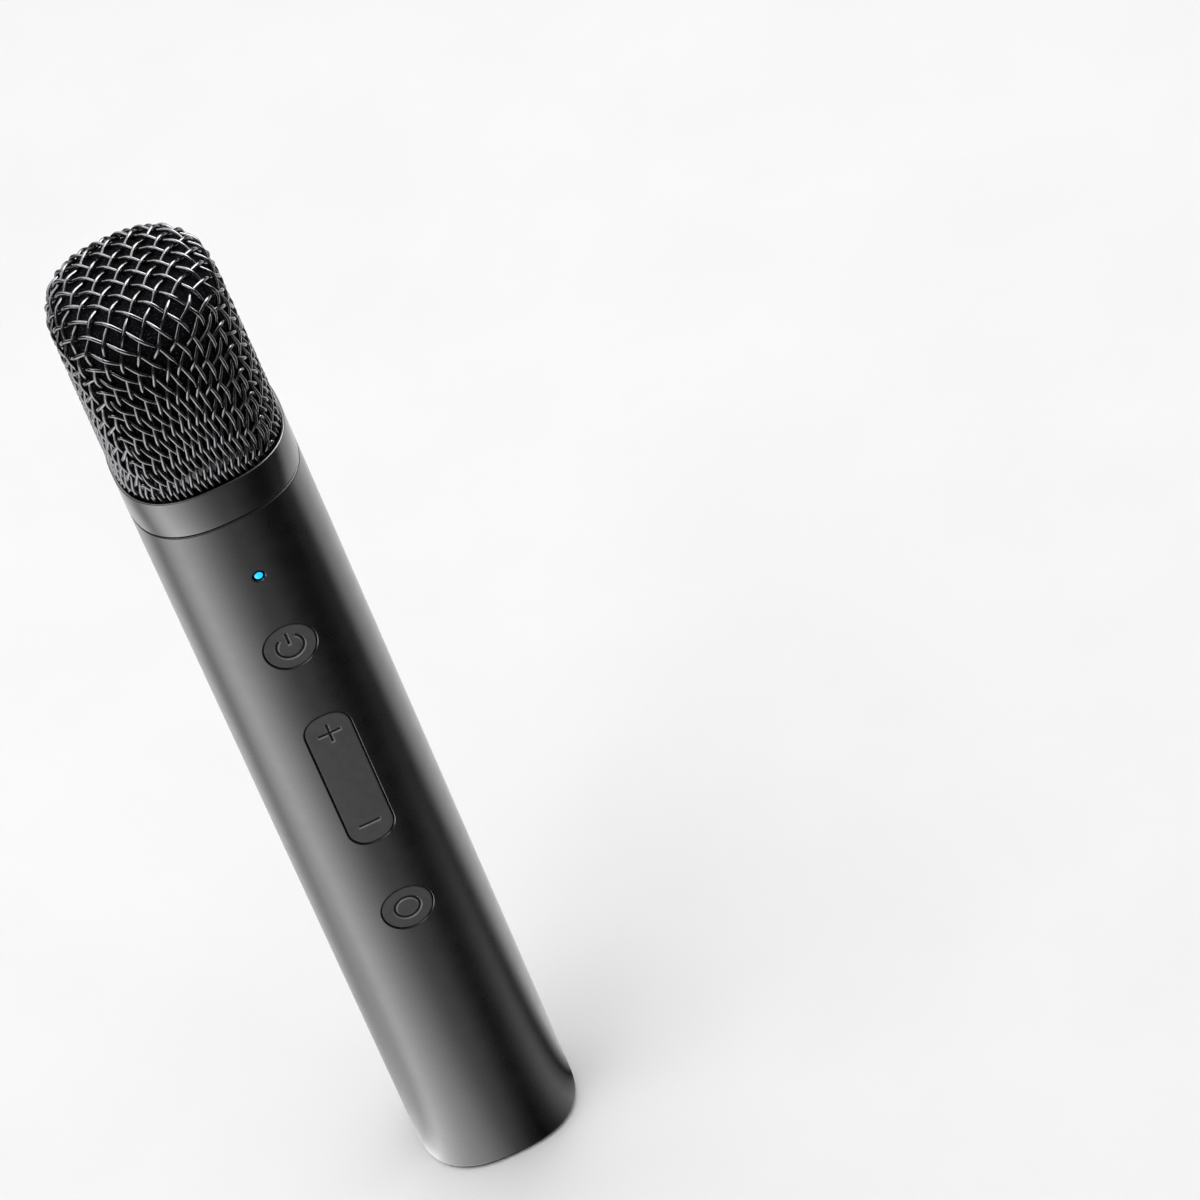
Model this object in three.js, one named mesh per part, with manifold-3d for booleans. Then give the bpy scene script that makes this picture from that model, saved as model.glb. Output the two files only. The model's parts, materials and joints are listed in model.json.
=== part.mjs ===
// A cordless hand-held karaoke microphone, standing upright on its base.
// Millimetres. +Z runs along the body from the base to the grille, and the buttons face -Y.
// The origin is the middle of the base.
import * as THREE from "three";
import { mergeVertices } from "three/addons/utils/BufferGeometryUtils.js";
import Module from "manifold-3d";

const wasm = await Module();
wasm.setup();

// Overall sizes
const HALF = 17; // half the body's width across its flats
const SQUARENESS = 2.6; // power of the rounded-square section, where 2 is a circle
const WALL = 1.6;
const INSIDE = HALF - WALL;
const GAP = 0.3; // clearance between pieces that meet
const BASE_LIP = 0.6; // height of the base cap that shows under the tube
const SEAM_Z = 183.5; // joint between the body tube and the collar
const RIM_Z = 192.1; // upper edge of the collar
const TOP_Z = 235; // crown of the grille

// Grille
const HEAD_LOW = 16.7; // half-width where the grille meets the collar
const HEAD_HIGH = 16.5; // half-width where its top edge starts to round over
const HEAD_ROUND = 7.8; // radius of that rounding
const HEAD_CROWN = 1; // rise of the domed top
const MESH_SKIN = 0.9; // thickness of the woven wire
const BAND_WALL = 0.9;
const BAND_REACH = 5; // how far the rim band stands above and below the rim
const FOAM_OFFSET = 1.3; // from the outside of the grille to the foam
const FOAM_BORE = 12.6;

// Controls, placed along Z on the front face
const LED_Z = 168.6;
const LED_RADIUS = 1;
const POWER_Z = 149.5;
const MODE_Z = 75.5;
const BUTTON_HOLE = 5.4;
const BUTTON_RADIUS = 5.15;
const BUTTON_FLANGE = 6.2;
const ROCKER_Z = 112.7;
const ROCKER_HALF_LENGTH = 17.7; // of the opening
const ROCKER_HALF_WIDTH = 4.85;
const ROCKER_CORNER = 4.2;
const ROCKER_CLEARANCE = 0.25;
const ROCKER_BACK = -14.6; // y of the back of the key's plate
const PIVOT_Y = -12.9;
const PIVOT_RADIUS = 0.85;
const POST_REACH = 13.2; // from the rocker's pivot to each of its posts
const KEY_BACK = -13.5; // y where every key stops, just short of its switch

// Circuit board and what stands on it
const BOARD_FRONT = -9.6;
const BOARD_BACK = -8.4;
const BOARD_LOW = 22;
const BOARD_HIGH = 176;
const BOARD_HALF = 10;
const ON_FRONT = BOARD_FRONT - GAP; // y where the front-mounted pieces start
const ON_BACK = BOARD_BACK + GAP;
const SWITCH_HALF = 3;
const SWITCH_FRONT = -12.2;
const SWITCH_BORE = 2;
const PLUNGER_RADIUS = 1.7;
const SCREW_X = 7.5;
const SCREW_ZS = [40, 136];

// Chassis and battery
const PLATE_BACK = -6.3;
const RAIL_IN = 11.6;
const RAIL_OUT = 13.4;
const FOOT_LOW = 12;
const FOOT_HIGH = 15;
const CHASSIS_HIGH = 170;
const CELL_RADIUS = 9.1;
const CELL_LENGTH = 65;
const CELL_LOW = 40;
const CELL_Y = 4.3;
const CAP_SCREW_X = 10;
const CAP_SCREW_Y = 4;

// Neck and capsule
const SLEEVE_HALF = INSIDE - GAP;
const SLEEVE_BORE = 13.6;
const SLEEVE_LOW = 174;
const SLEEVE_HIGH = 186;
const BRACKET_LOW = 179;
const BRACKET_PLATE = 2;
const TOWER_HIGH = 189.7;
const TOWER_RADIUS = 10.8;
const TOWER_BORE = 9.2;
const CAPSULE_LOW = 196;
const CAPSULE_HIGH = 212;
const CAPSULE_RADIUS = 11.5;
const CAPSULE_WALL = 0.9;
const MAGNET_HIGH = 203;
const COIL_LENGTH = 2.8;
const FILM = 0.3; // thickness of the diaphragm
const COVER_HIGH = CAPSULE_HIGH - 0.6;
const COVER_PORTS = 6;

// Charging port
const PORT_HALF_WIDTH = 4.5;
const PORT_HALF_DEPTH = 1.65;
const PORT_LOW = 0.3;
const PORT_HIGH = 7.8;

// Segment counts
const SHELL_SIDES = 48;
const ROUND_SIDES = 28;
const SMALL_SIDES = 12;
const WIRE_SIDES = 8;

// One material for each kind of stuff the microphone is made of.
const FINISHES = {
  anodised: { color: 0x3a3a3c, roughness: 0.34, metalness: 0.85 },
  wire: { color: 0x8d8f92, roughness: 0.25, metalness: 1 },
  foam: { color: 0x0c0c0d, roughness: 1, metalness: 0 },
  keys: { color: 0x434343, roughness: 0.7, metalness: 0 },
  plastic: { color: 0x161617, roughness: 0.6, metalness: 0 },
  rubber: { color: 0x1c1c1c, roughness: 0.9, metalness: 0 },
  board: { color: 0x0f4a2c, roughness: 0.5, metalness: 0 },
  nickel: { color: 0xb9bbbd, roughness: 0.3, metalness: 1 },
  magnet: { color: 0x55585c, roughness: 0.4, metalness: 0.9 },
  copper: { color: 0xb8703a, roughness: 0.4, metalness: 0.9 },
  film: { color: 0xcfc9b4, roughness: 0.3, metalness: 0 },
  cell: { color: 0x2f6fb3, roughness: 0.45, metalness: 0 },
  redWire: { color: 0xb3201d, roughness: 0.5, metalness: 0 },
  blackWire: { color: 0x141414, roughness: 0.5, metalness: 0 },
  ribbon: { color: 0xd07a2a, roughness: 0.5, metalness: 0 },
  lens: { color: 0x18b4ff, roughness: 0.15, metalness: 0 },
};

const materials = Object.fromEntries(
  Object.entries(FINISHES).map(([name, finish]) => [name, new THREE.MeshStandardMaterial(finish)]),
);

// ---- Solids ----

// A closed geometry as a solid that can be cut and joined.
function solid(geometry) {
  const plain = geometry.index ? geometry.toNonIndexed() : geometry.clone();
  plain.deleteAttribute("normal");
  plain.deleteAttribute("uv");
  const merged = mergeVertices(plain, 1e-4);
  const corners = merged.index.array;
  const triVerts = [];
  for (let i = 0; i < corners.length; i += 3) {
    const [a, b, c] = corners.slice(i, i + 3);
    if (a !== b && b !== c && c !== a) triVerts.push(a, b, c);
  }
  return new wasm.Manifold(
    new wasm.Mesh({
      numProp: 3,
      vertProperties: merged.attributes.position.array,
      triVerts: new Uint32Array(triVerts),
    }),
  );
}

function geometryOf(made) {
  const { vertProperties, triVerts } = made.getMesh();
  const geometry = new THREE.BufferGeometry();
  geometry.setAttribute("position", new THREE.BufferAttribute(new Float32Array(vertProperties), 3));
  geometry.setIndex(new THREE.BufferAttribute(new Uint32Array(triVerts), 1));
  geometry.computeVertexNormals();
  return geometry;
}

const join = (first, ...others) => others.reduce((whole, other) => whole.add(other), first);
const cut = (first, ...others) => others.reduce((whole, other) => whole.subtract(other), first);

// Half-width of a rounded square of the given half-size, at one bearing from its middle.
function reach(half, bearing) {
  const x = Math.abs(Math.cos(bearing)) ** SQUARENESS;
  const y = Math.abs(Math.sin(bearing)) ** SQUARENESS;
  return half / (x + y) ** (1 / SQUARENESS);
}

// A body turned from [half-width, height] points and pressed into the rounded-square section.
function squared(profile) {
  const points = profile.map(([half, z]) => new THREE.Vector2(half, z));
  const geometry = new THREE.LatheGeometry(points, SHELL_SIDES).rotateX(Math.PI / 2);
  const position = geometry.attributes.position;
  for (let i = 0; i < position.count; i += 1) {
    const stretch = reach(1, Math.atan2(position.getY(i), position.getX(i)));
    position.setXY(i, position.getX(i) * stretch, position.getY(i) * stretch);
  }
  return solid(geometry);
}

const squaredPlate = (half, low, high) => squared([[0, low], [half, low], [half, high], [0, high]]);

function squaredRing(outer, inner, low, high) {
  return squared([[inner, low], [outer, low], [outer, high], [inner, high], [inner, low]]);
}

function box([x0, x1], [y0, y1], [z0, z1]) {
  const geometry = new THREE.BoxGeometry(x1 - x0, y1 - y0, z1 - z0);
  return solid(geometry.translate((x0 + x1) / 2, (y0 + y1) / 2, (z0 + z1) / 2));
}

// Cylinders along Z, along Y and along X.
function upright(radius, low, high, x = 0, y = 0, sides = ROUND_SIDES) {
  const geometry = new THREE.CylinderGeometry(radius, radius, high - low, sides).rotateX(Math.PI / 2);
  return solid(geometry.translate(x, y, (low + high) / 2));
}

function facing(radius, front, back, z, x = 0, sides = ROUND_SIDES) {
  const geometry = new THREE.CylinderGeometry(radius, radius, back - front, sides);
  return solid(geometry.translate(x, (front + back) / 2, z));
}

function sideways(radius, half, y, z) {
  const geometry = new THREE.CylinderGeometry(radius, radius, 2 * half, SMALL_SIDES);
  return solid(geometry.rotateZ(Math.PI / 2).translate(0, y, z));
}

// A body turned round the microphone's axis from [radius, height] points.
function turned(profile) {
  const points = profile.map(([radius, z]) => new THREE.Vector2(radius, z));
  return solid(new THREE.LatheGeometry(points, ROUND_SIDES).rotateX(Math.PI / 2));
}

function tube(outer, inner, low, high) {
  return turned([[inner, low], [outer, low], [outer, high], [inner, high], [inner, low]]);
}

function oblongShape(halfWidth, halfLength, corner) {
  const shape = new THREE.Shape();
  shape.moveTo(halfWidth, corner - halfLength);
  shape.lineTo(halfWidth, halfLength - corner);
  shape.absarc(halfWidth - corner, halfLength - corner, corner, 0, Math.PI / 2);
  shape.absarc(corner - halfWidth, halfLength - corner, corner, Math.PI / 2, Math.PI);
  shape.absarc(corner - halfWidth, corner - halfLength, corner, Math.PI, 1.5 * Math.PI);
  shape.absarc(halfWidth - corner, corner - halfLength, corner, 1.5 * Math.PI, 2 * Math.PI);
  return shape;
}

function extruded(shape, depth) {
  return new THREE.ExtrudeGeometry(shape, { depth, bevelEnabled: false, curveSegments: 5 });
}

// A rounded oblong that is long in Z, from its front y to its back y.
function oblongFacing(halfWidth, halfLength, corner, front, back, z) {
  const geometry = extruded(oblongShape(halfWidth, halfLength, corner), back - front);
  return solid(geometry.rotateX(Math.PI / 2).translate(0, back, z));
}

// A rounded oblong that is wide in X, standing from one height to another on the axis.
function oblongUpright(halfWidth, halfDepth, corner, low, high) {
  return solid(extruded(oblongShape(halfWidth, halfDepth, corner), high - low).translate(0, 0, low));
}

// A flat or round section swept along a smooth line of points.
function swept(shape, points, steps) {
  const extrudePath = new THREE.CatmullRomCurve3(points.map((point) => new THREE.Vector3(...point)));
  return solid(new THREE.ExtrudeGeometry(shape, { steps, extrudePath, bevelEnabled: false }));
}

function lead(radius, points, steps = 10) {
  const corners = [];
  for (let i = 0; i < WIRE_SIDES; i += 1) {
    const bearing = (2 * Math.PI * i) / WIRE_SIDES;
    corners.push(new THREE.Vector2(radius * Math.cos(bearing), radius * Math.sin(bearing)));
  }
  return swept(new THREE.Shape(corners), points, steps);
}

const group = new THREE.Group();

function add(name, finish, made) {
  const mesh = new THREE.Mesh(geometryOf(made), materials[finish]);
  mesh.name = name;
  group.add(mesh);
}

// ---- Grille and windscreen ----

// Points of the head's outer face, moved in by an inset, from a starting height to the crown.
function headOutline(inset, low) {
  const high = HEAD_HIGH - inset;
  const round = HEAD_ROUND - inset;
  const turnZ = TOP_Z - HEAD_CROWN - HEAD_ROUND;
  const slope = (HEAD_HIGH - HEAD_LOW) / (turnZ - RIM_Z);
  const crowned = (half, z) => [half, z + HEAD_CROWN * (1 - (half / high) ** 2)];
  const points = [[HEAD_LOW - inset + slope * (low - RIM_Z), low]];
  const arcSteps = 5;
  for (let i = 0; i <= arcSteps; i += 1) {
    const bearing = (Math.PI / 2) * (i / arcSteps);
    points.push(crowned(high - round + round * Math.cos(bearing), turnZ + round * Math.sin(bearing)));
  }
  points.push(crowned((high - round) / 2, turnZ + round));
  points.push(crowned(0, turnZ + round));
  return points;
}

function grilleMesh() {
  const low = RIM_Z + GAP;
  const inner = headOutline(MESH_SKIN, low).reverse();
  return squared([...headOutline(0, low), ...inner, headOutline(0, low)[0]]);
}

// The band that the wire is soldered to: its lower half drops into the collar.
function grilleRimBand() {
  const lower = SLEEVE_HALF;
  const upper = HEAD_LOW - MESH_SKIN - GAP;
  const bore = lower - BAND_WALL;
  return join(
    squaredRing(lower, bore, RIM_Z - BAND_REACH, RIM_Z + GAP),
    squaredRing(upper, bore, RIM_Z + GAP, RIM_Z + BAND_REACH),
  );
}

// Open-cell foam that fills the grille, with a bore for the capsule.
function foamWindscreen() {
  const skirtLow = RIM_Z - 3;
  const domeLow = RIM_Z + BAND_REACH + GAP;
  const ceiling = CAPSULE_HIGH + 6;
  const skirt = squaredPlate(SLEEVE_HALF - BAND_WALL - GAP, skirtLow, domeLow);
  const dome = squared([[0, domeLow], ...headOutline(FOAM_OFFSET, domeLow)]);
  return cut(join(skirt, dome), upright(FOAM_BORE, skirtLow - 1, ceiling));
}

function headCollar() {
  return squaredRing(HALF, INSIDE, SEAM_Z, RIM_Z);
}

// ---- Capsule ----

function neckSleeve() {
  return squaredRing(SLEEVE_HALF, SLEEVE_BORE, SLEEVE_LOW, SLEEVE_HIGH);
}

// A plate across the sleeve with a short tower that carries the capsule.
function capsuleBracket() {
  const plate = squaredPlate(SLEEVE_BORE - GAP, BRACKET_LOW, BRACKET_LOW + BRACKET_PLATE);
  const tower = upright(TOWER_RADIUS, BRACKET_LOW + BRACKET_PLATE, TOWER_HIGH);
  return cut(join(plate, tower), upright(TOWER_BORE, BRACKET_LOW - 1, TOWER_HIGH + 1));
}

const shockMount = () => tube(CAPSULE_RADIUS - 0.1, TOWER_BORE - 0.6, TOWER_HIGH + GAP, CAPSULE_LOW - GAP);

// An open cup with a hole in its floor for the leads.
function capsuleHousing() {
  const bore = CAPSULE_RADIUS - CAPSULE_WALL;
  const floorTop = CAPSULE_LOW + CAPSULE_WALL;
  const floorHole = 3.2;
  return turned([
    [floorHole, CAPSULE_LOW],
    [CAPSULE_RADIUS, CAPSULE_LOW],
    [CAPSULE_RADIUS, CAPSULE_HIGH],
    [bore, CAPSULE_HIGH],
    [bore, floorTop],
    [floorHole, floorTop],
    [floorHole, CAPSULE_LOW],
  ]);
}

const capsuleMagnet = () => tube(8.6, 2, CAPSULE_LOW + CAPSULE_WALL + GAP, MAGNET_HIGH);

function voiceCoil() {
  const low = MAGNET_HIGH + 2 * GAP;
  return tube(6.2, 5.4, low, low + COIL_LENGTH);
}

// A shallow dome of film with a flat rim, just above the coil.
function capsuleDiaphragm() {
  const rimZ = MAGNET_HIGH + COIL_LENGTH + 3 * GAP;
  const rise = 1.6;
  const under = [[0, rimZ + rise], [3, rimZ + 0.8 * rise], [6, rimZ], [10.2, rimZ]];
  const over = under.map(([radius, z]) => [radius, z + FILM]).reverse();
  return turned([...under, ...over]);
}

function capsuleCover() {
  const low = COVER_HIGH - 1.2;
  const port = (radius, x, y) => upright(radius, low - 1, COVER_HIGH + 1, x, y, SMALL_SIDES);
  const ports = [port(1.6, 0, 0)];
  const ringRadius = 6.4;
  for (let i = 0; i < COVER_PORTS; i += 1) {
    const bearing = (2 * Math.PI * i) / COVER_PORTS;
    ports.push(port(1.4, ringRadius * Math.cos(bearing), ringRadius * Math.sin(bearing)));
  }
  return cut(upright(CAPSULE_RADIUS - CAPSULE_WALL - GAP, low, COVER_HIGH), ...ports);
}

// ---- Body tube, base and chassis ----

function bodyShell() {
  const front = -HALF - 1;
  const back = 0;
  return cut(
    squaredRing(HALF, INSIDE, BASE_LIP + GAP, SEAM_Z - GAP),
    facing(BUTTON_HOLE, front, back, POWER_Z),
    facing(BUTTON_HOLE, front, back, MODE_Z),
    facing(LED_RADIUS + 0.2, front, back, LED_Z, 0, SMALL_SIDES),
    oblongFacing(ROCKER_HALF_WIDTH, ROCKER_HALF_LENGTH, ROCKER_CORNER, front, back, ROCKER_Z),
  );
}

const eachCapScrew = (make) => [-CAP_SCREW_X, CAP_SCREW_X].map(make);

// A thin lip under the tube, with a floor and a short skirt that plug into it.
function bottomCap() {
  const floorTop = 2.4;
  const skirtTop = 8.4;
  const lip = squaredPlate(HALF - 0.5, 0, BASE_LIP);
  const floor = squaredPlate(SLEEVE_HALF, 0, floorTop);
  const skirt = squaredRing(SLEEVE_HALF, SLEEVE_HALF - 2, floorTop - 0.4, skirtTop);
  const portOpening = oblongUpright(PORT_HALF_WIDTH + 0.4, PORT_HALF_DEPTH + 0.4, 2, -1, floorTop + 1);
  const screwHoles = eachCapScrew((x) => {
    const recess = upright(2.6, -1, 1.4, x, CAP_SCREW_Y, SMALL_SIDES);
    return join(recess, upright(1.5, 1, floorTop + 1, x, CAP_SCREW_Y, SMALL_SIDES));
  });
  return cut(join(lip, floor, skirt), portOpening, ...screwHoles);
}

function capScrew(x) {
  const head = upright(2.2, 0.2, 1.1, x, CAP_SCREW_Y, SMALL_SIDES);
  return join(head, upright(1.1, 1, FOOT_HIGH - 0.6, x, CAP_SCREW_Y, SMALL_SIDES));
}

// A foot plate, a long back plate for the board and two rails that brace it in the tube.
function chassis() {
  const plate = box([-RAIL_OUT, RAIL_OUT], [ON_BACK, PLATE_BACK], [FOOT_LOW, CHASSIS_HIGH]);
  const rails = [-1, 1].map((side) => {
    const xs = [RAIL_IN * side, RAIL_OUT * side].sort((a, b) => a - b);
    return box(xs, [ON_BACK, -2], [FOOT_LOW, SLEEVE_LOW - GAP]);
  });
  const windows = [
    [5, 17, 30],
    [5.5, 110, 121],
    [8, 144, 168],
  ].map(([half, low, high]) => box([-half, half], [-9, -5], [low, high]));
  const screwHoles = boardScrewPlaces().map(([x, z]) => facing(1.1, -9, -5, z, x, SMALL_SIDES));
  const capScrewHoles = eachCapScrew((x) => upright(1.4, 11, 16, x, CAP_SCREW_Y, SMALL_SIDES));
  const foot = squaredPlate(SLEEVE_HALF, FOOT_LOW, FOOT_HIGH);
  const ribbonWindow = box([-6, 6], [-5, 9.5], [11, 16]);
  return cut(join(foot, plate, ...rails), ribbonWindow, ...windows, ...screwHoles, ...capScrewHoles);
}

// ---- Main board ----

function boardScrewPlaces() {
  return SCREW_ZS.flatMap((z) => [[-SCREW_X, z], [SCREW_X, z]]);
}

function mainBoard() {
  const slab = box([-BOARD_HALF, BOARD_HALF], [BOARD_FRONT, BOARD_BACK], [BOARD_LOW, BOARD_HIGH]);
  return cut(slab, ...boardScrewPlaces().map(([x, z]) => facing(1.1, -11, -7, z, x, SMALL_SIDES)));
}

function boardScrew([x, z]) {
  const head = facing(1.9, ON_FRONT - 1.3, ON_FRONT, z, x, SMALL_SIDES);
  return join(head, facing(0.8, ON_FRONT - 0.5, PLATE_BACK - 0.1, z, x, SMALL_SIDES));
}

const radioModule = () => box([-7, 7], [ON_BACK, ON_BACK + 2.2], [146, 166]);

const antenna = () => lead(0.5, [[-9, -5.2, 148], [-9, -5.1, 158], [-8.6, -4.8, 168], [-8.4, -4.6, 178]]);

const batteryConnector = () => box([-4, 4], [ON_BACK, -3.6], [112, 118]);

const capsuleConnector = () => box([-3, 3], [ON_BACK, -4.8], [171, 175]);

// ---- Switches and keys ----

function switchBody(z) {
  const half = SWITCH_HALF;
  const frame = box([-half, half], [SWITCH_FRONT, ON_FRONT], [z - half, z + half]);
  return cut(frame, facing(SWITCH_BORE, SWITCH_FRONT - 1, SWITCH_FRONT + 1.3, z, 0, SMALL_SIDES));
}

const plunger = (z) => facing(PLUNGER_RADIUS, KEY_BACK + GAP, SWITCH_FRONT + 0.6, z, 0, SMALL_SIDES);

// What stands in front of the tube's outer face is shaved off, so a key follows its curve.
const withinTube = (made) => made.intersect(squaredPlate(HALF, 0, SEAM_Z));

function buttonCap(z) {
  const face = withinTube(facing(BUTTON_RADIUS, -HALF - 1, KEY_BACK, z));
  return join(face, facing(BUTTON_FLANGE, KEY_BACK - 1, KEY_BACK, z));
}

function volumeRocker() {
  const clear = ROCKER_CLEARANCE;
  const key = oblongFacing(
    ROCKER_HALF_WIDTH - clear,
    ROCKER_HALF_LENGTH - clear,
    ROCKER_CORNER - clear,
    -HALF - 1,
    ROCKER_BACK,
    ROCKER_Z,
  );
  const lug = box([-3.6, 3.6], [ROCKER_BACK - 0.5, -11.2], [ROCKER_Z - 2.2, ROCKER_Z + 2.2]);
  const posts = [-1, 1].map((end) => facing(1.6, ROCKER_BACK - 0.5, KEY_BACK, ROCKER_Z + end * POST_REACH));
  return cut(join(withinTube(key), lug, ...posts), sideways(PIVOT_RADIUS + 0.2, 5, PIVOT_Y, ROCKER_Z));
}

// A small saddle on the board whose two ears hold the rocker's pin.
function rockerBracket() {
  const ears = [-1, 1].map((side) => {
    const xs = [4.2 * side, 5.6 * side].sort((a, b) => a - b);
    return box(xs, [-14.1, ON_FRONT], [ROCKER_Z - 2.2, ROCKER_Z + 2.2]);
  });
  const base = box([-6.4, 6.4], [ON_FRONT - 0.8, ON_FRONT], [ROCKER_Z - 3, ROCKER_Z + 3]);
  return cut(join(base, ...ears), sideways(PIVOT_RADIUS + 0.1, 8, PIVOT_Y, ROCKER_Z));
}

const pivotPin = () => sideways(PIVOT_RADIUS, 6, PIVOT_Y, ROCKER_Z);

// ---- Status light ----

const statusLed = () => box([-1, 1], [ON_FRONT - 0.8, ON_FRONT], [LED_Z - 0.6, LED_Z + 0.6]);

function lightPipe() {
  const back = ON_FRONT - 0.8 - GAP;
  const rod = withinTube(facing(LED_RADIUS, -HALF - 1, back, LED_Z, 0, SMALL_SIDES));
  return join(rod, facing(2, -14.8, -13.8, LED_Z, 0, SMALL_SIDES));
}

// ---- Battery and charging ----

const batteryCell = () => upright(CELL_RADIUS, CELL_LOW, CELL_LOW + CELL_LENGTH, 0, CELL_Y);

// Foam tape between the cell and the chassis.
function batteryPad() {
  const margin = 4;
  const depth = [PLATE_BACK + GAP, CELL_Y - CELL_RADIUS - GAP];
  return box([-4, 4], depth, [CELL_LOW + margin, CELL_LOW + CELL_LENGTH - margin]);
}

// A lead from the top of the cell, over its shoulder and down into the connector.
function batteryLead(side) {
  const x = 2 * side;
  const top = CELL_LOW + CELL_LENGTH + GAP;
  const route = [[CELL_Y, 0], [3.9, 3], [2.4, 8], [0, 10], [-3.2, 10.3]];
  return lead(0.6, route.map(([y, rise]) => [x, y, top + rise]));
}

// A lead from the capsule's terminals, down through its bracket and into the board's connector.
function capsuleLead(side) {
  const x = 1.3 * side;
  const route = [[0, CAPSULE_LOW], [0.6, 190], [1, 183], [0.2, 177], [-2.2, 173.4], [-4.4, 173]];
  return lead(0.5, route.map(([y, z]) => [x, y, z]));
}

function usbPort() {
  const corner = PORT_HALF_DEPTH - 0.15;
  const outside = oblongUpright(PORT_HALF_WIDTH, PORT_HALF_DEPTH, corner, PORT_LOW, PORT_HIGH);
  const wall = 0.3;
  const inside = [PORT_HALF_WIDTH - wall, PORT_HALF_DEPTH - wall, corner - wall];
  return cut(outside, oblongUpright(...inside, PORT_LOW - 1, PORT_HIGH - wall));
}

const usbTongue = () => box([-3.3, 3.3], [-0.35, 0.35], [PORT_LOW + 0.9, PORT_HIGH - 2 * GAP]);

// The charging board stands behind the port, between the base cap's floor and the chassis.
function usbBoard() {
  const face = PORT_HALF_DEPTH + GAP;
  return box([-7, 7], [face, face + 1], [2.8, FOOT_LOW - 0.4]);
}

// A flat cable from the charging board, through the chassis, to the back of the main board.
function usbRibbon() {
  const halfWidth = 2.5;
  const halfThickness = 0.15;
  const section = new THREE.Shape();
  section.moveTo(-halfWidth, -halfThickness);
  section.lineTo(halfWidth, -halfThickness);
  section.lineTo(halfWidth, halfThickness);
  section.lineTo(-halfWidth, halfThickness);
  return swept(section, [[0, 1.5, 8.8], [0, 0.8, 12], [0, -2, 17], [0, -6.4, 21], [0, -7.8, 26]], 16);
}

// ---- Assembly ----

add("grille_mesh", "wire", grilleMesh());
add("grille_rim_band", "wire", grilleRimBand());
add("foam_windscreen", "foam", foamWindscreen());
add("head_collar", "anodised", headCollar());

add("neck_sleeve", "plastic", neckSleeve());
add("capsule_bracket", "plastic", capsuleBracket());
add("capsule_shock_mount", "rubber", shockMount());
add("capsule_housing", "nickel", capsuleHousing());
add("capsule_magnet", "magnet", capsuleMagnet());
add("capsule_voice_coil", "copper", voiceCoil());
add("capsule_diaphragm", "film", capsuleDiaphragm());
add("capsule_cover", "nickel", capsuleCover());

add("body_shell", "anodised", bodyShell());
add("bottom_cap", "plastic", bottomCap());
add("chassis", "plastic", chassis());
add("main_board", "board", mainBoard());
add("radio_module", "nickel", radioModule());
add("antenna", "copper", antenna());
add("battery_connector", "plastic", batteryConnector());
add("capsule_connector", "plastic", capsuleConnector());

for (const [name, z] of [["power", POWER_Z], ["mode", MODE_Z]]) {
  add(`${name}_button_cap`, "keys", buttonCap(z));
  add(`${name}_switch_body`, "plastic", switchBody(z));
  add(`${name}_switch_plunger`, "plastic", plunger(z));
}

add("volume_rocker", "keys", volumeRocker());
add("rocker_bracket", "plastic", rockerBracket());
add("rocker_pivot_pin", "nickel", pivotPin());
for (const [name, z] of [["plus", ROCKER_Z + POST_REACH], ["minus", ROCKER_Z - POST_REACH]]) {
  add(`${name}_switch_body`, "plastic", switchBody(z));
  add(`${name}_switch_plunger`, "plastic", plunger(z));
}

add("status_led", "lens", statusLed());
add("led_light_pipe", "lens", lightPipe());

add("battery_cell", "cell", batteryCell());
add("battery_pad", "rubber", batteryPad());
add("battery_lead_red", "redWire", batteryLead(1));
add("battery_lead_black", "blackWire", batteryLead(-1));
add("capsule_lead_red", "redWire", capsuleLead(1));
add("capsule_lead_black", "blackWire", capsuleLead(-1));

add("usb_port_shell", "nickel", usbPort());
add("usb_tongue", "plastic", usbTongue());
add("usb_board", "board", usbBoard());
add("usb_ribbon", "ribbon", usbRibbon());

boardScrewPlaces().forEach((place, index) => add(`board_screw_${index + 1}`, "nickel", boardScrew(place)));
eachCapScrew(capScrew).forEach((screw, index) => add(`cap_screw_${index + 1}`, "nickel", screw));

export default group;
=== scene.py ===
import json
import math

import bmesh
import bpy
import numpy as np
from mathutils import Matrix, Vector, noise
from mathutils.geometry import delaunay_2d_cdt


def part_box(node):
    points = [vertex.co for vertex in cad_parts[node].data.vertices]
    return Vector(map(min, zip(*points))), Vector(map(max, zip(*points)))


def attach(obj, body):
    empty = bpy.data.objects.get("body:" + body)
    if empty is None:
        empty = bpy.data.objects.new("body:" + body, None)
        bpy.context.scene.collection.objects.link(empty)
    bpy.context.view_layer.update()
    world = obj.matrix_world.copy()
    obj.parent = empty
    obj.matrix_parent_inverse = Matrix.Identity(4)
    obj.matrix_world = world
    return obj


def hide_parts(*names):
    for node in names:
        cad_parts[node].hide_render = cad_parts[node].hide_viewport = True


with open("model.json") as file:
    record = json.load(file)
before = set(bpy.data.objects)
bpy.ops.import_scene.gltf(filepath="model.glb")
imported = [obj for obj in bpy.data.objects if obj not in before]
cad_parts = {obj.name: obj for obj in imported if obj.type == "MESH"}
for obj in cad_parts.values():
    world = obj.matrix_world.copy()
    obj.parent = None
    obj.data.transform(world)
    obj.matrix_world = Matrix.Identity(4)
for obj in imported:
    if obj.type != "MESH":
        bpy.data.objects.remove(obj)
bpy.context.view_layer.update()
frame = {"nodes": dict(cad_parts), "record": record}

# The looks of a cordless karaoke microphone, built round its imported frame.
# Shapes are worked out in millimetres and turned into metres when a mesh is made.

MM = 0.001


def millimetres(name):
    """The lowest and highest corner of a CAD node."""
    low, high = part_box(name)
    return np.array(low) / MM, np.array(high) / MM


def middle(name):
    low, high = millimetres(name)
    return (low + high) / 2


# ---- Driving dimensions ----

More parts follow.
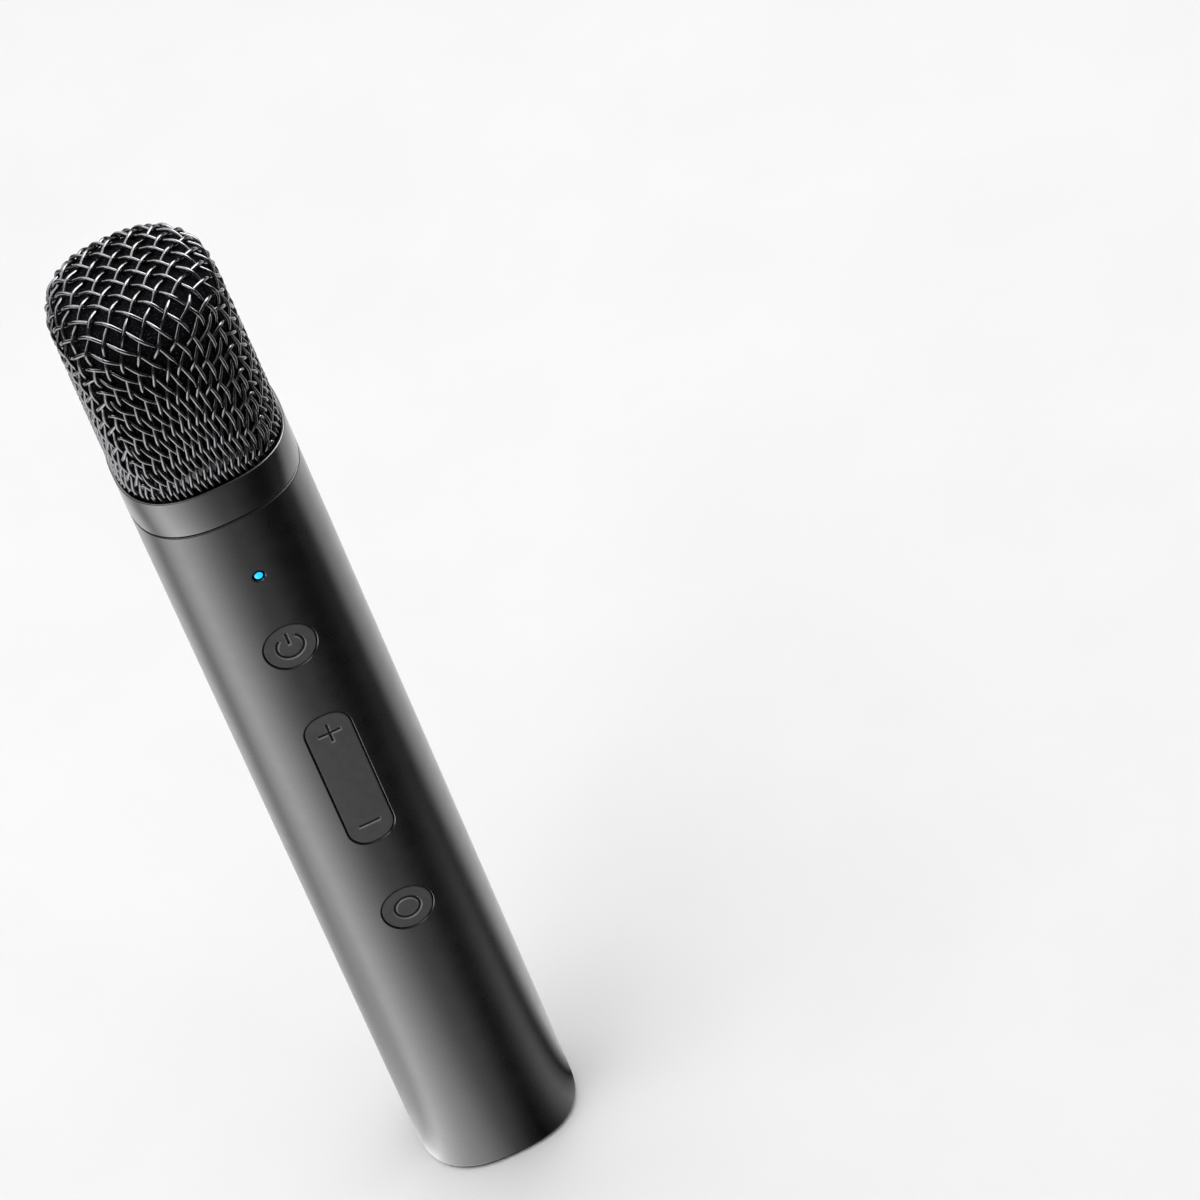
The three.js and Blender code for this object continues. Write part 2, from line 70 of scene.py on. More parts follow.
SQUARENESS = 2.6  # power of the rounded-square section, where 2 is a circle
WALL = 1.6
EDGE = 0.3  # radius of the tube's and the collar's edges

TUBE_LOW, TUBE_HIGH = (corner[2] for corner in millimetres("body_shell"))
COLLAR_LOW, COLLAR_HIGH = (corner[2] for corner in millimetres("head_collar"))
HALF = millimetres("body_shell")[1][0]
INSIDE = HALF - WALL
SLEEVE_HALF = millimetres("neck_sleeve")[1][0]

# The middle strip of the front face carries the openings, on columns 1 mm apart.
STRIP = 8.0
STRIP_COLUMNS = 17
ROUND_COLUMNS = 96
ROW_STEP = 4.0

# Openings and keys
ROUND_HOLE = 5.3
LIGHT_HOLE = 1.2
BEVEL = 0.24  # flat edge round each opening
KEY_EDGE = 0.25
KEY_GAP = 0.2
KEY_SUNK = 0.08  # from the tube's face down to a key's face
KEY_PLATE_BACK = -14.6  # y of the back of the rocker's plate
KEY_BACK = -13.5  # y where the rocker's posts end
GROOVE = 0.28  # depth of the marks
GROOVE_HALF = 0.46  # half their width at the face
GROOVE_SLOPE = 0.2  # how much narrower each side of their floor is
ROCKER_CORNER = 4.2
ROCKER_MARK_Z = 12.7
PIVOT_BORE = 1.05
PIPE_RADIUS = 1.0
LIT_RADIUS = 0.8  # of the light pipe's bright middle

# Grille
HEAD_LOW = millimetres("grille_mesh")[1][0]  # half-width where the wire meets the collar
HEAD_HIGH = HEAD_LOW - 0.2  # half-width where its top edge starts to round over
HEAD_ROUND = 7.8
HEAD_CROWN = 1.0
HEAD_TOP = millimetres("grille_mesh")[1][2]
TURN_Z = HEAD_TOP - HEAD_CROWN - HEAD_ROUND
HEAD_SLOPE = (HEAD_HIGH - HEAD_LOW) / (TURN_Z - COLLAR_HIGH)
WIRE = 0.76  # diameter
WIRE_PITCH = 3.17  # from one crossing to the next along a wire
WIRE_CLOSEST = 1.4  # the least that a cell of the net may close up to
NET_ROWS = 24
UNEVEN = 0.35  # how far a crossing may stray from the even net
STRAY_RATE = 0.45  # how quickly that changes from place to place, per mm
STRAY_SEED = 1
NET_TURNS = 1500  # rounds of pulling the net into shape
TUCK_HIGH = 2.2  # where the wires start to bend inwards, above the collar
SEAT = 16.45  # half-width of the bore at the collar's rim, where the wire drops in
SEAT_DEPTH = 1.5

# Foam
FOAM_INSET = 1.5
FOAM_BORE = 12.6
PORE_RATE = 1.1  # pores per mm
PORE_REACH = 0.55  # how far a pore reaches, in cells of the pattern
PORE_DEPTH = 0.32
FOAM_CENTRE_Z = 205.0  # the highest point that pores open away from


# ---- Sections ----


def reach(half, bearings):
    """Distance from the middle to the rounded-square section of that half-width, at some bearings."""
    spread = abs(np.cos(bearings)) ** SQUARENESS + abs(np.sin(bearings)) ** SQUARENESS
    return half / spread ** (1 / SQUARENESS)


def front_y(half, x):
    """Y of the section's front face at some x."""
    return -half * (1 - (abs(x) / half) ** SQUARENESS) ** (1 / SQUARENESS)


def section(half):
    """The tube's section: the front strip from left to right, then round by the back."""
    xs = np.linspace(-STRIP, STRIP, STRIP_COLUMNS)
    ys = front_y(half, xs)
    start = math.atan2(ys[-1], STRIP)
    bearings = np.linspace(start, math.pi - start, ROUND_COLUMNS + 1)[1:-1]
    far = reach(half, bearings)
    return np.vstack([np.c_[xs, ys], np.c_[far * np.cos(bearings), far * np.sin(bearings)]])


def ring(half, count):
    """The section as a closed line of points at equal bearings."""
    bearings = np.arange(count) * 2 * math.pi / count
    far = reach(half, bearings)
    return np.c_[far * np.cos(bearings), far * np.sin(bearings)]


def circle(radius, x=0, y=0, count=32):
    turns = np.arange(count) * 2 * math.pi / count
    return radius * np.c_[np.cos(turns), np.sin(turns)] + (x, y)


def at_height(points, z):
    return np.c_[points, np.full(len(points), float(z))]


def on_front(flat, z, depth=0.0, half=HALF):
    """Flat (x, z) points laid on the tube's front face about a height, sunk by a depth."""
    return np.c_[flat[:, 0], front_y(half, flat[:, 0]) + depth, z + flat[:, 1]]


def facing(flat, y, z=0.0):
    """Flat (x, z) points about a height, in the upright plane at some y."""
    return np.c_[flat[:, 0], np.full(len(flat), y), z + flat[:, 1]]


def side_of_oblong(half_along, half_across, corner, steps):
    """One side of a rounded oblong, from the middle of a corner up to the middle of the next."""
    eighth = corner * math.pi / 4
    straight = 2 * (half_along - corner)
    made = []
    for s in np.arange(steps) / steps * (straight + 2 * eighth):
        past = max(0.0, s - eighth - straight) - max(0.0, eighth - s)
        turn = past / corner if corner else 0.0
        flat = min(max(s - eighth, 0.0), straight) - straight / 2
        made.append((flat + corner * math.sin(turn), half_across - corner * (1 - math.cos(turn))))
    return made


def oblong(half_x, half_z, corner, steps_x, steps_z):
    """A rounded oblong, anticlockwise from its lower right corner, as (x, z) points."""
    right = [(across, along) for along, across in side_of_oblong(half_z, half_x, corner, steps_z)]
    top = [(-along, across) for along, across in side_of_oblong(half_x, half_z, corner, steps_x)]
    left = [(-x, -z) for x, z in right]
    bottom = [(-x, -z) for x, z in top]
    return np.array(right + top + left + bottom)


# ---- Meshes ----


class Shell:
    """Points and faces of a closed mesh, put together from loops of points."""

    def __init__(self):
        self.points = []
        self.faces = []
        self.skin = {}  # the true normal at points of a curved outer face
        self.skin_faces = set()
        self.finish_numbers = {}  # faces that take one of the piece's other materials

    def loop(self, points, normals=None):
        first = len(self.points)
        self.points.extend(tuple(map(float, point)) for point in points)
        indices = list(range(first, len(self.points)))
        if normals is not None:
            self.skin.update(zip(indices, normals))
        return indices

    def face(self, corners, skin=False):
        if skin:
            self.skin_faces.add(len(self.faces))
        self.faces.append(tuple(corners))

    def bridge(self, first, second, skin=False):
        for k, here in enumerate(first):
            after = (k + 1) % len(first)
            self.face((here, first[after], second[after], second[k]), skin)

    def stack(self, loops, skin=False):
        for first, second in zip(loops, loops[1:]):
            self.bridge(first, second, skin)

    def fan(self, loop, tip):
        """Closes a loop with triangles to one more point."""
        middle_point = self.loop([tip])[0]
        for k, here in enumerate(loop):
            self.face((here, loop[(k + 1) % len(loop)], middle_point))

    def fill(self, loops, flat, extra=(), is_skin=None):
        """Fills the space inside the first loop and outside the closed holes after it.

        flat gives every used point's place in the plane. Extra points are spread inside."""
        used = [index for loop in loops for index in loop] + list(extra)
        place = {index: k for k, index in enumerate(used)}
        edges = []
        for loop in loops:
            edges += [(place[a], place[b]) for a, b in zip(loop, loop[1:] + loop[:1])]
        points = [Vector(flat[index]) for index in used]
        triangles = delaunay_2d_cdt(points, edges, [], 1, 1e-6)[2]
        for triangle in triangles:
            corners = [used[k] for k in triangle]
            self.face(corners, bool(is_skin and is_skin(corners)))

    def mark_faces(self, first, low_points):
        """Of the faces from a number on, gives the second material to those that lie wholly
        at low points, and the third to those that lead down to them."""
        for number in range(first, len(self.faces)):
            if low_points.issuperset(self.faces[number]):
                self.finish_numbers[number] = 1
            elif low_points.intersection(self.faces[number]):
                self.finish_numbers[number] = 2

    def object(self, name, sharp_deg=35):
        mesh = bpy.data.meshes.new(name)
        mesh.from_pydata([[c * MM for c in point] for point in self.points], [], self.faces)
        mesh.update()
        face_outward(mesh)
        mesh.shade_smooth()
        mesh.set_sharp_from_angle(angle=math.radians(sharp_deg))
        if self.skin_faces:
            normals = [(0.0, 0.0, 0.0)] * len(mesh.loops)
            for polygon in mesh.polygons:
                if polygon.index in self.skin_faces:
                    for k in polygon.loop_indices:
                        normals[k] = self.skin[mesh.loops[k].vertex_index]
            mesh.normals_split_custom_set(normals)
        for number, finish_number in self.finish_numbers.items():
            mesh.polygons[number].material_index = finish_number
        made = bpy.data.objects.new(name, mesh)
        bpy.context.scene.collection.objects.link(made)
        return made


def face_outward(mesh):
    """Turns every face to look out of the closed mesh."""
    work = bmesh.new()
    work.from_mesh(mesh)
    bmesh.ops.recalc_face_normals(work, faces=work.faces)
    work.to_mesh(mesh)
    work.free()


def section_normals(points):
    """Outward normals of the rounded-square section at points on it."""
    out = np.sign(points[:, :2]) * abs(points[:, :2]) ** (SQUARENESS - 1)
    out /= np.linalg.norm(out, axis=1)[:, None]
    return np.c_[out, np.zeros(len(out))]


def rounded(radius, steps=3):
    """(inset, drop) pairs of a quarter-round edge, from the top face down to the wall."""
    turns = np.linspace(0, math.pi / 2, steps + 1)
    return [(radius * (1 - math.sin(turn)), radius * (1 - math.cos(turn))) for turn in turns]


# ---- Body tube ----


def openings():
    """(middle z, half-height of its patch, half-width, half-length, corner) of each opening, upwards."""
    def opening(node, patch, half_x, half_z, corner):
        return (middle(node)[2], patch, half_x, half_z, corner)

    rocker_low, rocker_high = millimetres("volume_rocker")
    half_x = rocker_high[0] + KEY_GAP
    half_z = (rocker_high[2] - rocker_low[2]) / 2 + KEY_GAP
    return [
        opening("mode_button_cap", 8, ROUND_HOLE, ROUND_HOLE, ROUND_HOLE),
        opening("volume_rocker", 21, half_x, half_z, ROCKER_CORNER),
        opening("power_button_cap", 8, ROUND_HOLE, ROUND_HOLE, ROUND_HOLE),
        opening("led_light_pipe", 5, LIGHT_HOLE, LIGHT_HOLE, LIGHT_HOLE),
    ]


def tube_rows():
    """Heights of the tube's rows, and the row span of each opening's patch."""
    rows = [TUBE_LOW + EDGE]
    spans = []
    for z, patch, *_ in openings():
        steps = math.ceil((z - patch - rows[-1]) / ROW_STEP)
        rows += list(np.linspace(rows[-1], z - patch, steps + 1)[1:])
        first = len(rows) - 1
        rows += list(np.linspace(z - patch, z + patch, 2 * patch + 1)[1:])
        spans.append((first, len(rows) - 1))
    steps = math.ceil((TUBE_HIGH - EDGE - rows[-1]) / ROW_STEP)
    rows += list(np.linspace(rows[-1], TUBE_HIGH - EDGE, steps + 1)[1:])
    return rows, spans


def tube_wall(shell, half, skin):
    """The tube's outer or inner face without its openings' patches, as rows of points."""
    rows, spans = tube_rows()
    points = section(half)
    normals = section_normals(points)
    last = STRIP_COLUMNS - 1

    def in_patch(row, column):
        return any(low < row < high and 0 < column < last for low, high in spans)

    grid = []
    for row, z in enumerate(rows):
        kept = [column for column in range(len(points)) if not in_patch(row, column)]
        made = shell.loop(at_height(points[kept], z), normals[kept] if skin else None)
        grid.append(dict(zip(kept, made)))
    for row in range(len(rows) - 1):
        cut = any(low <= row < high for low, high in spans)
        for column in range(len(points)):
            if cut and column < last:
                continue
            after = (column + 1) % len(points)
            low, high = grid[row], grid[row + 1]
            shell.face((low[column], low[after], high[after], high[column]), skin)
    return grid, spans


def patch_border(grid, span):
    """The points round an opening's patch, anticlockwise from its lower right corner."""
    low, high = span
    last = STRIP_COLUMNS - 1
    right = [grid[row][last] for row in range(low, high)]
    top = [grid[high][column] for column in range(last, 0, -1)]
    left = [grid[row][0] for row in range(high, low, -1)]
    bottom = [grid[low][column] for column in range(last)]
    return right + top + left + bottom


def opening_rings(shell, half, opening, spread, skin, grow=0.0):
    """Loops on the tube's face that run from an opening's patch towards its edge."""
    z, patch, half_x, half_z, corner = opening
    steps = (STRIP_COLUMNS - 1, 2 * patch)
    border = oblong(STRIP, patch, 0, *steps)
    edge = oblong(half_x + grow, half_z + grow, corner + grow, *steps)
    loops = []
    for share in spread:
        flat = border * (1 - share) + edge * share
        points = on_front(flat, z, half=half)
        loops.append(shell.loop(points, section_normals(points) if skin else None))
    return loops


def cut_opening(shell, opening, outer_border, inner_border):
    """Joins the outer face to the inner one through an opening with a bevelled edge."""
    z, patch, half_x, half_z, corner = opening
    outside = opening_rings(shell, HALF, opening, (0.3, 0.6, 0.85, 1), True, grow=BEVEL)
    shell.stack([outer_border, *outside], skin=True)
    wall = [outside[-1]]
    soft = 0.04
    for grow, depth in ((soft, BEVEL - soft), (0, BEVEL + soft)):
        flat = oblong(half_x + grow, half_z + grow, corner + grow, STRIP_COLUMNS - 1, 2 * patch)
        wall.append(shell.loop(on_front(flat, z, depth)))
    inside = opening_rings(shell, INSIDE, opening, (1, 0.6, 0.3), False)
    shell.stack([*wall, *inside, inner_border])


def end_rings(shell, z, inward):
    """Loops that round off one end of the tube, from its outer face to its inner one."""
    loops = []
    for inset, drop in reversed(rounded(EDGE)[:-1]):
        loops.append(shell.loop(at_height(section(HALF - inset), z + inward * drop)))
    for grow, rise in rounded(0.2, 2)[:-1]:
        loops.append(shell.loop(at_height(section(INSIDE + grow), z + inward * rise)))
    return loops


def body_shell():
    shell = Shell()
    outer, spans = tube_wall(shell, HALF, skin=True)
    inner, _ = tube_wall(shell, INSIDE, skin=False)
    for opening, span in zip(openings(), spans):
        cut_opening(shell, opening, patch_border(outer, span), patch_border(inner, span))
    for row, z, inward in ((0, TUBE_LOW, 1), (-1, TUBE_HIGH, -1)):
        rim = end_rings(shell, z, inward)
        shell.stack([list(outer[row].values()), *rim, list(inner[row].values())])
    return shell.object("body_shell_tube")


def head_collar():
    """The collar: a fine rounding at the seam and a polished edge where the wire drops in."""
    seam, rim, lip = 0.2, 0.25, 0.1
    seat_z = COLLAR_HIGH - SEAT_DEPTH
    profile = [(INSIDE, COLLAR_LOW + seam), (INSIDE + seam, COLLAR_LOW)]
    profile += [(HALF - inset, COLLAR_LOW + drop) for inset, drop in rounded(seam)]
    profile += [(HALF - inset, COLLAR_HIGH - drop) for inset, drop in reversed(rounded(rim, 4))]
    profile += [(SEAT + lip, COLLAR_HIGH), (SEAT, COLLAR_HIGH - lip), (SEAT, seat_z), (INSIDE, seat_z)]
    shell = Shell()
    loops = [shell.loop(at_height(section(half), z)) for half, z in profile]
    shell.stack([*loops, loops[0]])
    return shell.object("head_collar_ring")


# ---- Bottom cap ----


def bottom_cap():
    """The lip under the tube, with the port's opening, two screw recesses and a skirt."""
    lip_half, _, top = millimetres("bottom_cap")[1]
    lip_high = TUBE_LOW - 0.3
    floor_high = 2.4
    recess_high = 1.4
    skirt = 2.0  # thickness of the wall that stands in the tube
    soft = 0.15
    edge = 0.1
    chamfer = 0.2
    columns = 128
    shell = Shell()

    def squared_loop(half, z):
        return shell.loop(at_height(ring(half, columns), z))

    profile = [(lip_half - soft, 0), (lip_half, soft), (lip_half, lip_high - edge)]
    profile += [(lip_half - edge, lip_high), (SLEEVE_HALF, lip_high), (SLEEVE_HALF, top - 0.3)]
    profile += [(SLEEVE_HALF - 0.3, top), (SLEEVE_HALF - skirt + chamfer, top)]
    profile += [(SLEEVE_HALF - skirt, top - chamfer), (SLEEVE_HALF - skirt, floor_high)]
    outside = [squared_loop(half, z) for half, z in profile]
    shell.stack(outside)
    holes_low = []
    holes_high = []
    half_x, half_y, _ = millimetres("usb_port_shell")[1] + 0.4
    corner = 2
    port = oblong(half_x, half_y, corner, 20, 8)
    port_wider = oblong(half_x + chamfer, half_y + chamfer, corner + chamfer, 20, 8)
    walls = [[(port_wider, 0), (port, chamfer), (port, floor_high)]]
    for screw in ("cap_screw_1", "cap_screw_2"):
        x, y, _ = middle(screw)
        recess, hole = circle(2.6, x, y), circle(1.5, x, y)
        wall = [(circle(2.6 + soft, x, y), 0), (recess, soft), (recess, recess_high)]
        walls.append([*wall, (hole, recess_high), (hole, floor_high)])
    for wall in walls:
        loops = [shell.loop(at_height(points, z)) for points, z in wall]
        shell.stack(loops)
        holes_low.append(loops[0])
        holes_high.append(loops[-1])
    flat = {k: point[:2] for k, point in enumerate(shell.points)}
    fill_round_holes(shell, outside[0], holes_low, flat)
    fill_round_holes(shell, outside[-1], holes_high, flat)
    return shell.object("bottom_cap_lip")


def fill_round_holes(shell, border, holes, flat):
    """Fills a plate inside its border, and takes out what lies inside its holes."""
    first = len(shell.faces)
    shell.fill([border, *holes], flat)
    owner = {index: k for k, hole in enumerate(holes) for index in hole}
    kept = []
    for corners in shell.faces[first:]:
        inside = {owner.get(corner, -1) for corner in corners}
        if len(inside) > 1 or -1 in inside:
            kept.append(corners)
    shell.faces[first:] = kept


# ---- Keys ----


def densely(points, step=0.45):
    """A closed line with points no further apart than step."""
    made = []
    for a, b in zip(points, np.roll(points, -1, axis=0)):
        count = max(1, math.ceil(np.linalg.norm(b - a) / step))
        made += [a + (b - a) * k / count for k in range(count)]
    return np.array(made)


def bar_mark(half_x, half_z):
    """Upper and lower outlines of a straight groove."""
    def outline(trim):
        x, z = half_x - trim, half_z - trim
        return densely(np.array([(x, -z), (x, z), (-x, z), (-x, -z)]))

    return [(outline(0), outline(GROOVE_SLOPE))]


def plus_mark(arm):
    def outline(trim):
        a, h = arm - trim, GROOVE_HALF - trim
        corners = [(h, -a), (h, -h), (a, -h), (a, h), (h, h), (h, a)]
        corners += [(-x, -z) for x, z in corners]
        return densely(np.array(corners))

    return [(outline(0), outline(GROOVE_SLOPE))]


def ring_mark(radius):
    """A groove all the way round: its outer edge and its inner edge."""
    def outline(grow):
        return circle(radius + grow, count=64)

    half = GROOVE_HALF
    return [
        (outline(half), outline(half - GROOVE_SLOPE)),
        (outline(-half), outline(GROOVE_SLOPE - half)),
    ]


def arc_mark(radius, opening_deg):
    """A groove round most of a circle, open at the top."""
    def outline(trim):
        start = math.radians(90 + opening_deg) + trim / radius
        end = math.radians(450 - opening_deg) - trim / radius
        turns = np.linspace(start, end, 45)
        outer = np.c_[np.cos(turns), np.sin(turns)] * (radius + GROOVE_HALF - trim)
        inner = np.c_[np.cos(turns), np.sin(turns)] * (radius - GROOVE_HALF + trim)
        return np.vstack([outer, inner[::-1]])

    return [(outline(0), outline(GROOVE_SLOPE))]


def moved(mark, x, z):
    return [(upper + (x, z), lower + (x, z)) for upper, lower in mark]


def spread_inside(half_x, half_z, corner, lines, step=0.8, margin=1, clear=0.55):
    """Points on a grid inside a key's face, clear of its edge and of its marks."""
    xs = np.arange(-half_x + step, half_x, step)
    zs = np.arange(-half_z + step, half_z, 2 * step)
    grid = np.array([(x, z) for x in xs for z in zs])
    distance = np.linalg.norm(grid[:, None] - np.vstack(lines)[None], axis=2).min(axis=1)
    beyond = np.maximum(abs(grid) - (half_x - corner, half_z - corner), 0)
    return grid[(distance > clear) & (np.hypot(*beyond.T) < corner - margin)]


def key_face(shell, z, half_x, half_z, corner, steps, marks):
    """A key's face, which follows the tube's curve, with its marks sunk in. Gives its wall's last loop."""
    def loop(flat, depth):
        points = on_front(flat, z, KEY_SUNK + depth)
        return shell.loop(points, section_normals(points))

    loops = []
    for inset, depth in rounded(KEY_EDGE, 4):
        loops.append(loop(oblong(half_x - inset, half_z - inset, corner - inset, *steps), depth))
    shell.stack(loops)
    border = oblong(half_x - KEY_EDGE, half_z - KEY_EDGE, corner - KEY_EDGE, *steps)
    lines = [border] + [upper for upper, lower in marks]
    inside = spread_inside(half_x, half_z, corner, lines)
    used = [loops[0]]
    low_points = set()
    for upper, lower in marks:
        used += [loop(upper, 0), loop(lower, GROOVE)]
        low_points.update(used[-1])
    extra = loop(inside, 0)
    flat = {k: (point[0], point[2]) for k, point in enumerate(shell.points)}
    first = len(shell.faces)
    shell.fill(used, flat, extra, lambda corners: not low_points.intersection(corners))
    # The floors of the marks take the painted shade, and their sides take the painted highlight.
    shell.mark_faces(first, low_points)
    return loops[-1]


def round_key(name, node, marks):
    """A round key with its flange behind the tube's wall."""
    flange, back, _ = millimetres(node)[1]
    z = middle(node)[2]
    radius = flange - 1.05
    soft = 0.15
    steps = (24, 24)
    shell = Shell()
    loops = [key_face(shell, z, radius, radius, radius, steps, marks)]
    flat = [(radius, back - 1), (flange - soft, back - 1), (flange, back - 1 + soft)]
    flat += [(flange, back - soft), (flange - soft, back)]
    loops += [shell.loop(facing(oblong(r, r, r, *steps), y, z)) for r, y in flat]
    shell.stack(loops)
    shell.fan(loops[-1], (0, back, z))
    return shell.object(name)


def post(shell, z, x, radius, front, back):
    """A short round post that stands back from a key's plate."""
    soft = 0.2
    profile = ((radius, front), (radius, back - soft), (radius - soft, back))
    loops = [shell.loop(facing(circle(r, x, z, 24), y)) for r, y in profile]
    shell.stack(loops)
    shell.fan(loops[0], (x, front, z))
    shell.fan(loops[-1], (x, back, z))


def pivot_lug(shell, z, front, back):
    """The block behind the rocker that its pin runs through."""
    pin_low, pin_high = millimetres("rocker_pivot_pin")
    pin_y = (pin_low[1] + pin_high[1]) / 2
    half_x, half_z = 3.6, 2.2
    soft = 0.2
    count = 32
    block = oblong((back - front) / 2, half_z, soft, 8, 8) + ((front + back) / 2, z)
    bore = circle(PIVOT_BORE, pin_y, z, count)
    loops = []
    for points, x in ((bore, -half_x), (block, -half_x), (block, half_x), (bore, half_x)):
        loops.append(shell.loop(np.c_[np.full(count, x), points]))
    shell.bridge(loops[1], loops[2])
    shell.bridge(loops[3], loops[0])
    for outer, hole in ((loops[1], loops[0]), (loops[2], loops[3])):
        flat = {k: shell.points[k][1:] for k in outer + hole}
        fill_round_holes(shell, outer, [hole], flat)


def rocker_key():
    """The volume rocker: plus above, minus below, on a plate with a lug and two posts."""
    low, high = millimetres("volume_rocker")
    half_x, half_z = high[0], (high[2] - low[2]) / 2
    z = middle("volume_rocker")[2]
    corner = ROCKER_CORNER - KEY_GAP
    soft = 0.2
    steps = (20, 72)
    marks = moved(plus_mark(2.5), 0, ROCKER_MARK_Z)
    marks += moved(bar_mark(2.4, GROOVE_HALF), 0, -ROCKER_MARK_Z)
    shell = Shell()
    loops = [key_face(shell, z, half_x, half_z, corner, steps, marks)]
    for inset, y in ((0, KEY_PLATE_BACK - soft), (soft, KEY_PLATE_BACK)):
        flat = oblong(half_x - inset, half_z - inset, corner - inset, *steps)
        loops.append(shell.loop(facing(flat, y, z)))
    shell.stack(loops)
    flat_back = {k: (shell.points[k][0], shell.points[k][2]) for k in loops[-1]}
    shell.fill([loops[-1]], flat_back)
    front = KEY_PLATE_BACK - 0.5
    for name in ("plus_switch_body", "minus_switch_body"):
        post(shell, middle(name)[2], 0, 1.6, front, KEY_BACK)
    pivot_lug(shell, z, front, high[1])
    return shell.object("volume_rocker_key")


def light_pipe():
    """A clear rod with a domed tip just inside the tube's face and a flange behind its wall."""
    low, high = millimetres("led_light_pipe")
    z = middle("led_light_pipe")[2]
    radius, flange, back = PIPE_RADIUS, high[0], high[1]
    flange_front, flange_back, soft = -14.8, -13.8, 0.1
    tip = low[1] + 0.02
    profile = [(0.35, tip + 0.03), (0.6, tip + 0.1), (LIT_RADIUS, tip + 0.2), (radius, tip + 0.42)]
    profile += [(radius, flange_front - soft), (radius + soft, flange_front)]
    profile += [(flange - soft, flange_front), (flange, flange_front + soft)]
    profile += [(flange, flange_back - soft), (flange - soft, flange_back), (radius, flange_back)]
    profile += [(radius, back)]
    shell = Shell()
    loops = [shell.loop(facing(circle(r, 0, z), y)) for r, y in profile]
    shell.fan(loops[0], (0, tip, z))
    shell.stack(loops[:3])
    first_unlit = len(shell.faces)
    shell.stack(loops[2:])
    shell.fan(loops[-1], (0, back, z))
    shell.finish_numbers = {number: 1 for number in range(first_unlit, len(shell.faces))}
    return shell.object("led_light_pipe_lens")


# ---- Grille ----


def head_field(points, inset):
    """How far points stand out of the head's outer face, moved in by an inset."""
    x, y, z = points.T
    half = (abs(x) ** SQUARENESS + abs(y) ** SQUARENESS) ** (1 / SQUARENESS)
    high = HEAD_HIGH - inset
    bend = HEAD_ROUND - inset
    level = z - HEAD_CROWN * (1 - np.minimum(half / high, 1.2) ** 2)
    wall = half - (high + HEAD_SLOPE * (np.minimum(level, TURN_Z) - TURN_Z))
    over = np.maximum(half - (high - bend), 0)
    dome = np.where(over <= 0, level - TURN_Z - bend, np.hypot(over, level - TURN_Z) - bend)
    return np.where(level <= TURN_Z, wall, dome)


def head_gradient(points, inset):
    step = 1e-4
    made = np.zeros_like(points)
    for k, move in enumerate(np.eye(3) * step):
        made[:, k] = (head_field(points + move, inset) - head_field(points - move, inset)) / (2 * step)
    return made


def onto_head(points, inset):
    """Points moved onto the head's face by one Newton step."""
    slope = head_gradient(points, inset)
    scale = head_field(points, inset) / np.maximum((slope**2).sum(axis=1), 1e-9)
    return points - scale[:, None] * slope


def head_normals(points, inset):
    slope = head_gradient(points, inset)
    return slope / np.linalg.norm(slope, axis=1)[:, None]


def head_profile(bearing, inset):
    """The head's outline at one bearing, from its crown down past the collar, and its arc lengths."""
    stretch = reach(1, np.array(bearing))
    high = HEAD_HIGH - inset
    bend = HEAD_ROUND - inset
    flat = np.linspace(0, high - bend, 30)
    turns = np.linspace(math.pi / 2, 0, 30)[1:]
    halves = np.r_[flat, high - bend + bend * np.cos(turns)]
    heights = np.r_[np.full(30, TURN_Z + bend), TURN_Z + bend * np.sin(turns)]
    heights += HEAD_CROWN * (1 - (halves / high) ** 2)
    below = np.linspace(TURN_Z, COLLAR_HIGH - 45, 80)[1:]
    halves = np.r_[halves, high + HEAD_SLOPE * (below - TURN_Z)]
    line = np.c_[halves * stretch, np.r_[heights, below]]
    lengths = np.r_[0, np.cumsum(np.linalg.norm(np.diff(line, axis=0), axis=1))]
    return line, lengths


def first_net(inset):
    """A first guess of the net on the quarter of the head that faces +X."""
    flat_until = 12  # mm from the crown, where the net stops lying flat
    closed_up = 0.93  # share of its pitch that each row keeps down the sides
    crossings = [(i, j) for i in range(NET_ROWS + 1) for j in range(NET_ROWS + 1 - i)]
    points = []
    for i, j in crossings:
        bearing = math.pi / 4 * (i - j) / max(i + j, 1)
        line, lengths = head_profile(bearing, inset)
        straight = math.hypot(i, j) * WIRE_PITCH
        share = min(1, max(0, straight / flat_until - 1))
        along = (1 - share) * straight + share * (i + j) * WIRE_PITCH * closed_up
        out = np.interp(along, lengths, line[:, 0])
        z = np.interp(along, lengths, line[:, 1])
        points.append((out * math.cos(bearing), out * math.sin(bearing), z))
    return crossings, np.array(points)


def pulled(points, pairs, length, strength, only_short=False):
    """The move of each point that brings pairs of them towards a distance."""
    first, second = pairs.T
    between = points[second] - points[first]
    distance = np.linalg.norm(between, axis=1)
    error = distance - length
    if only_short:
        error = np.minimum(error, 0)
    move = (strength / 2 * error / np.maximum(distance, 1e-6))[:, None] * between
    total = np.zeros_like(points)
    np.add.at(total, first, move)
    np.add.at(total, second, -move)
    return total


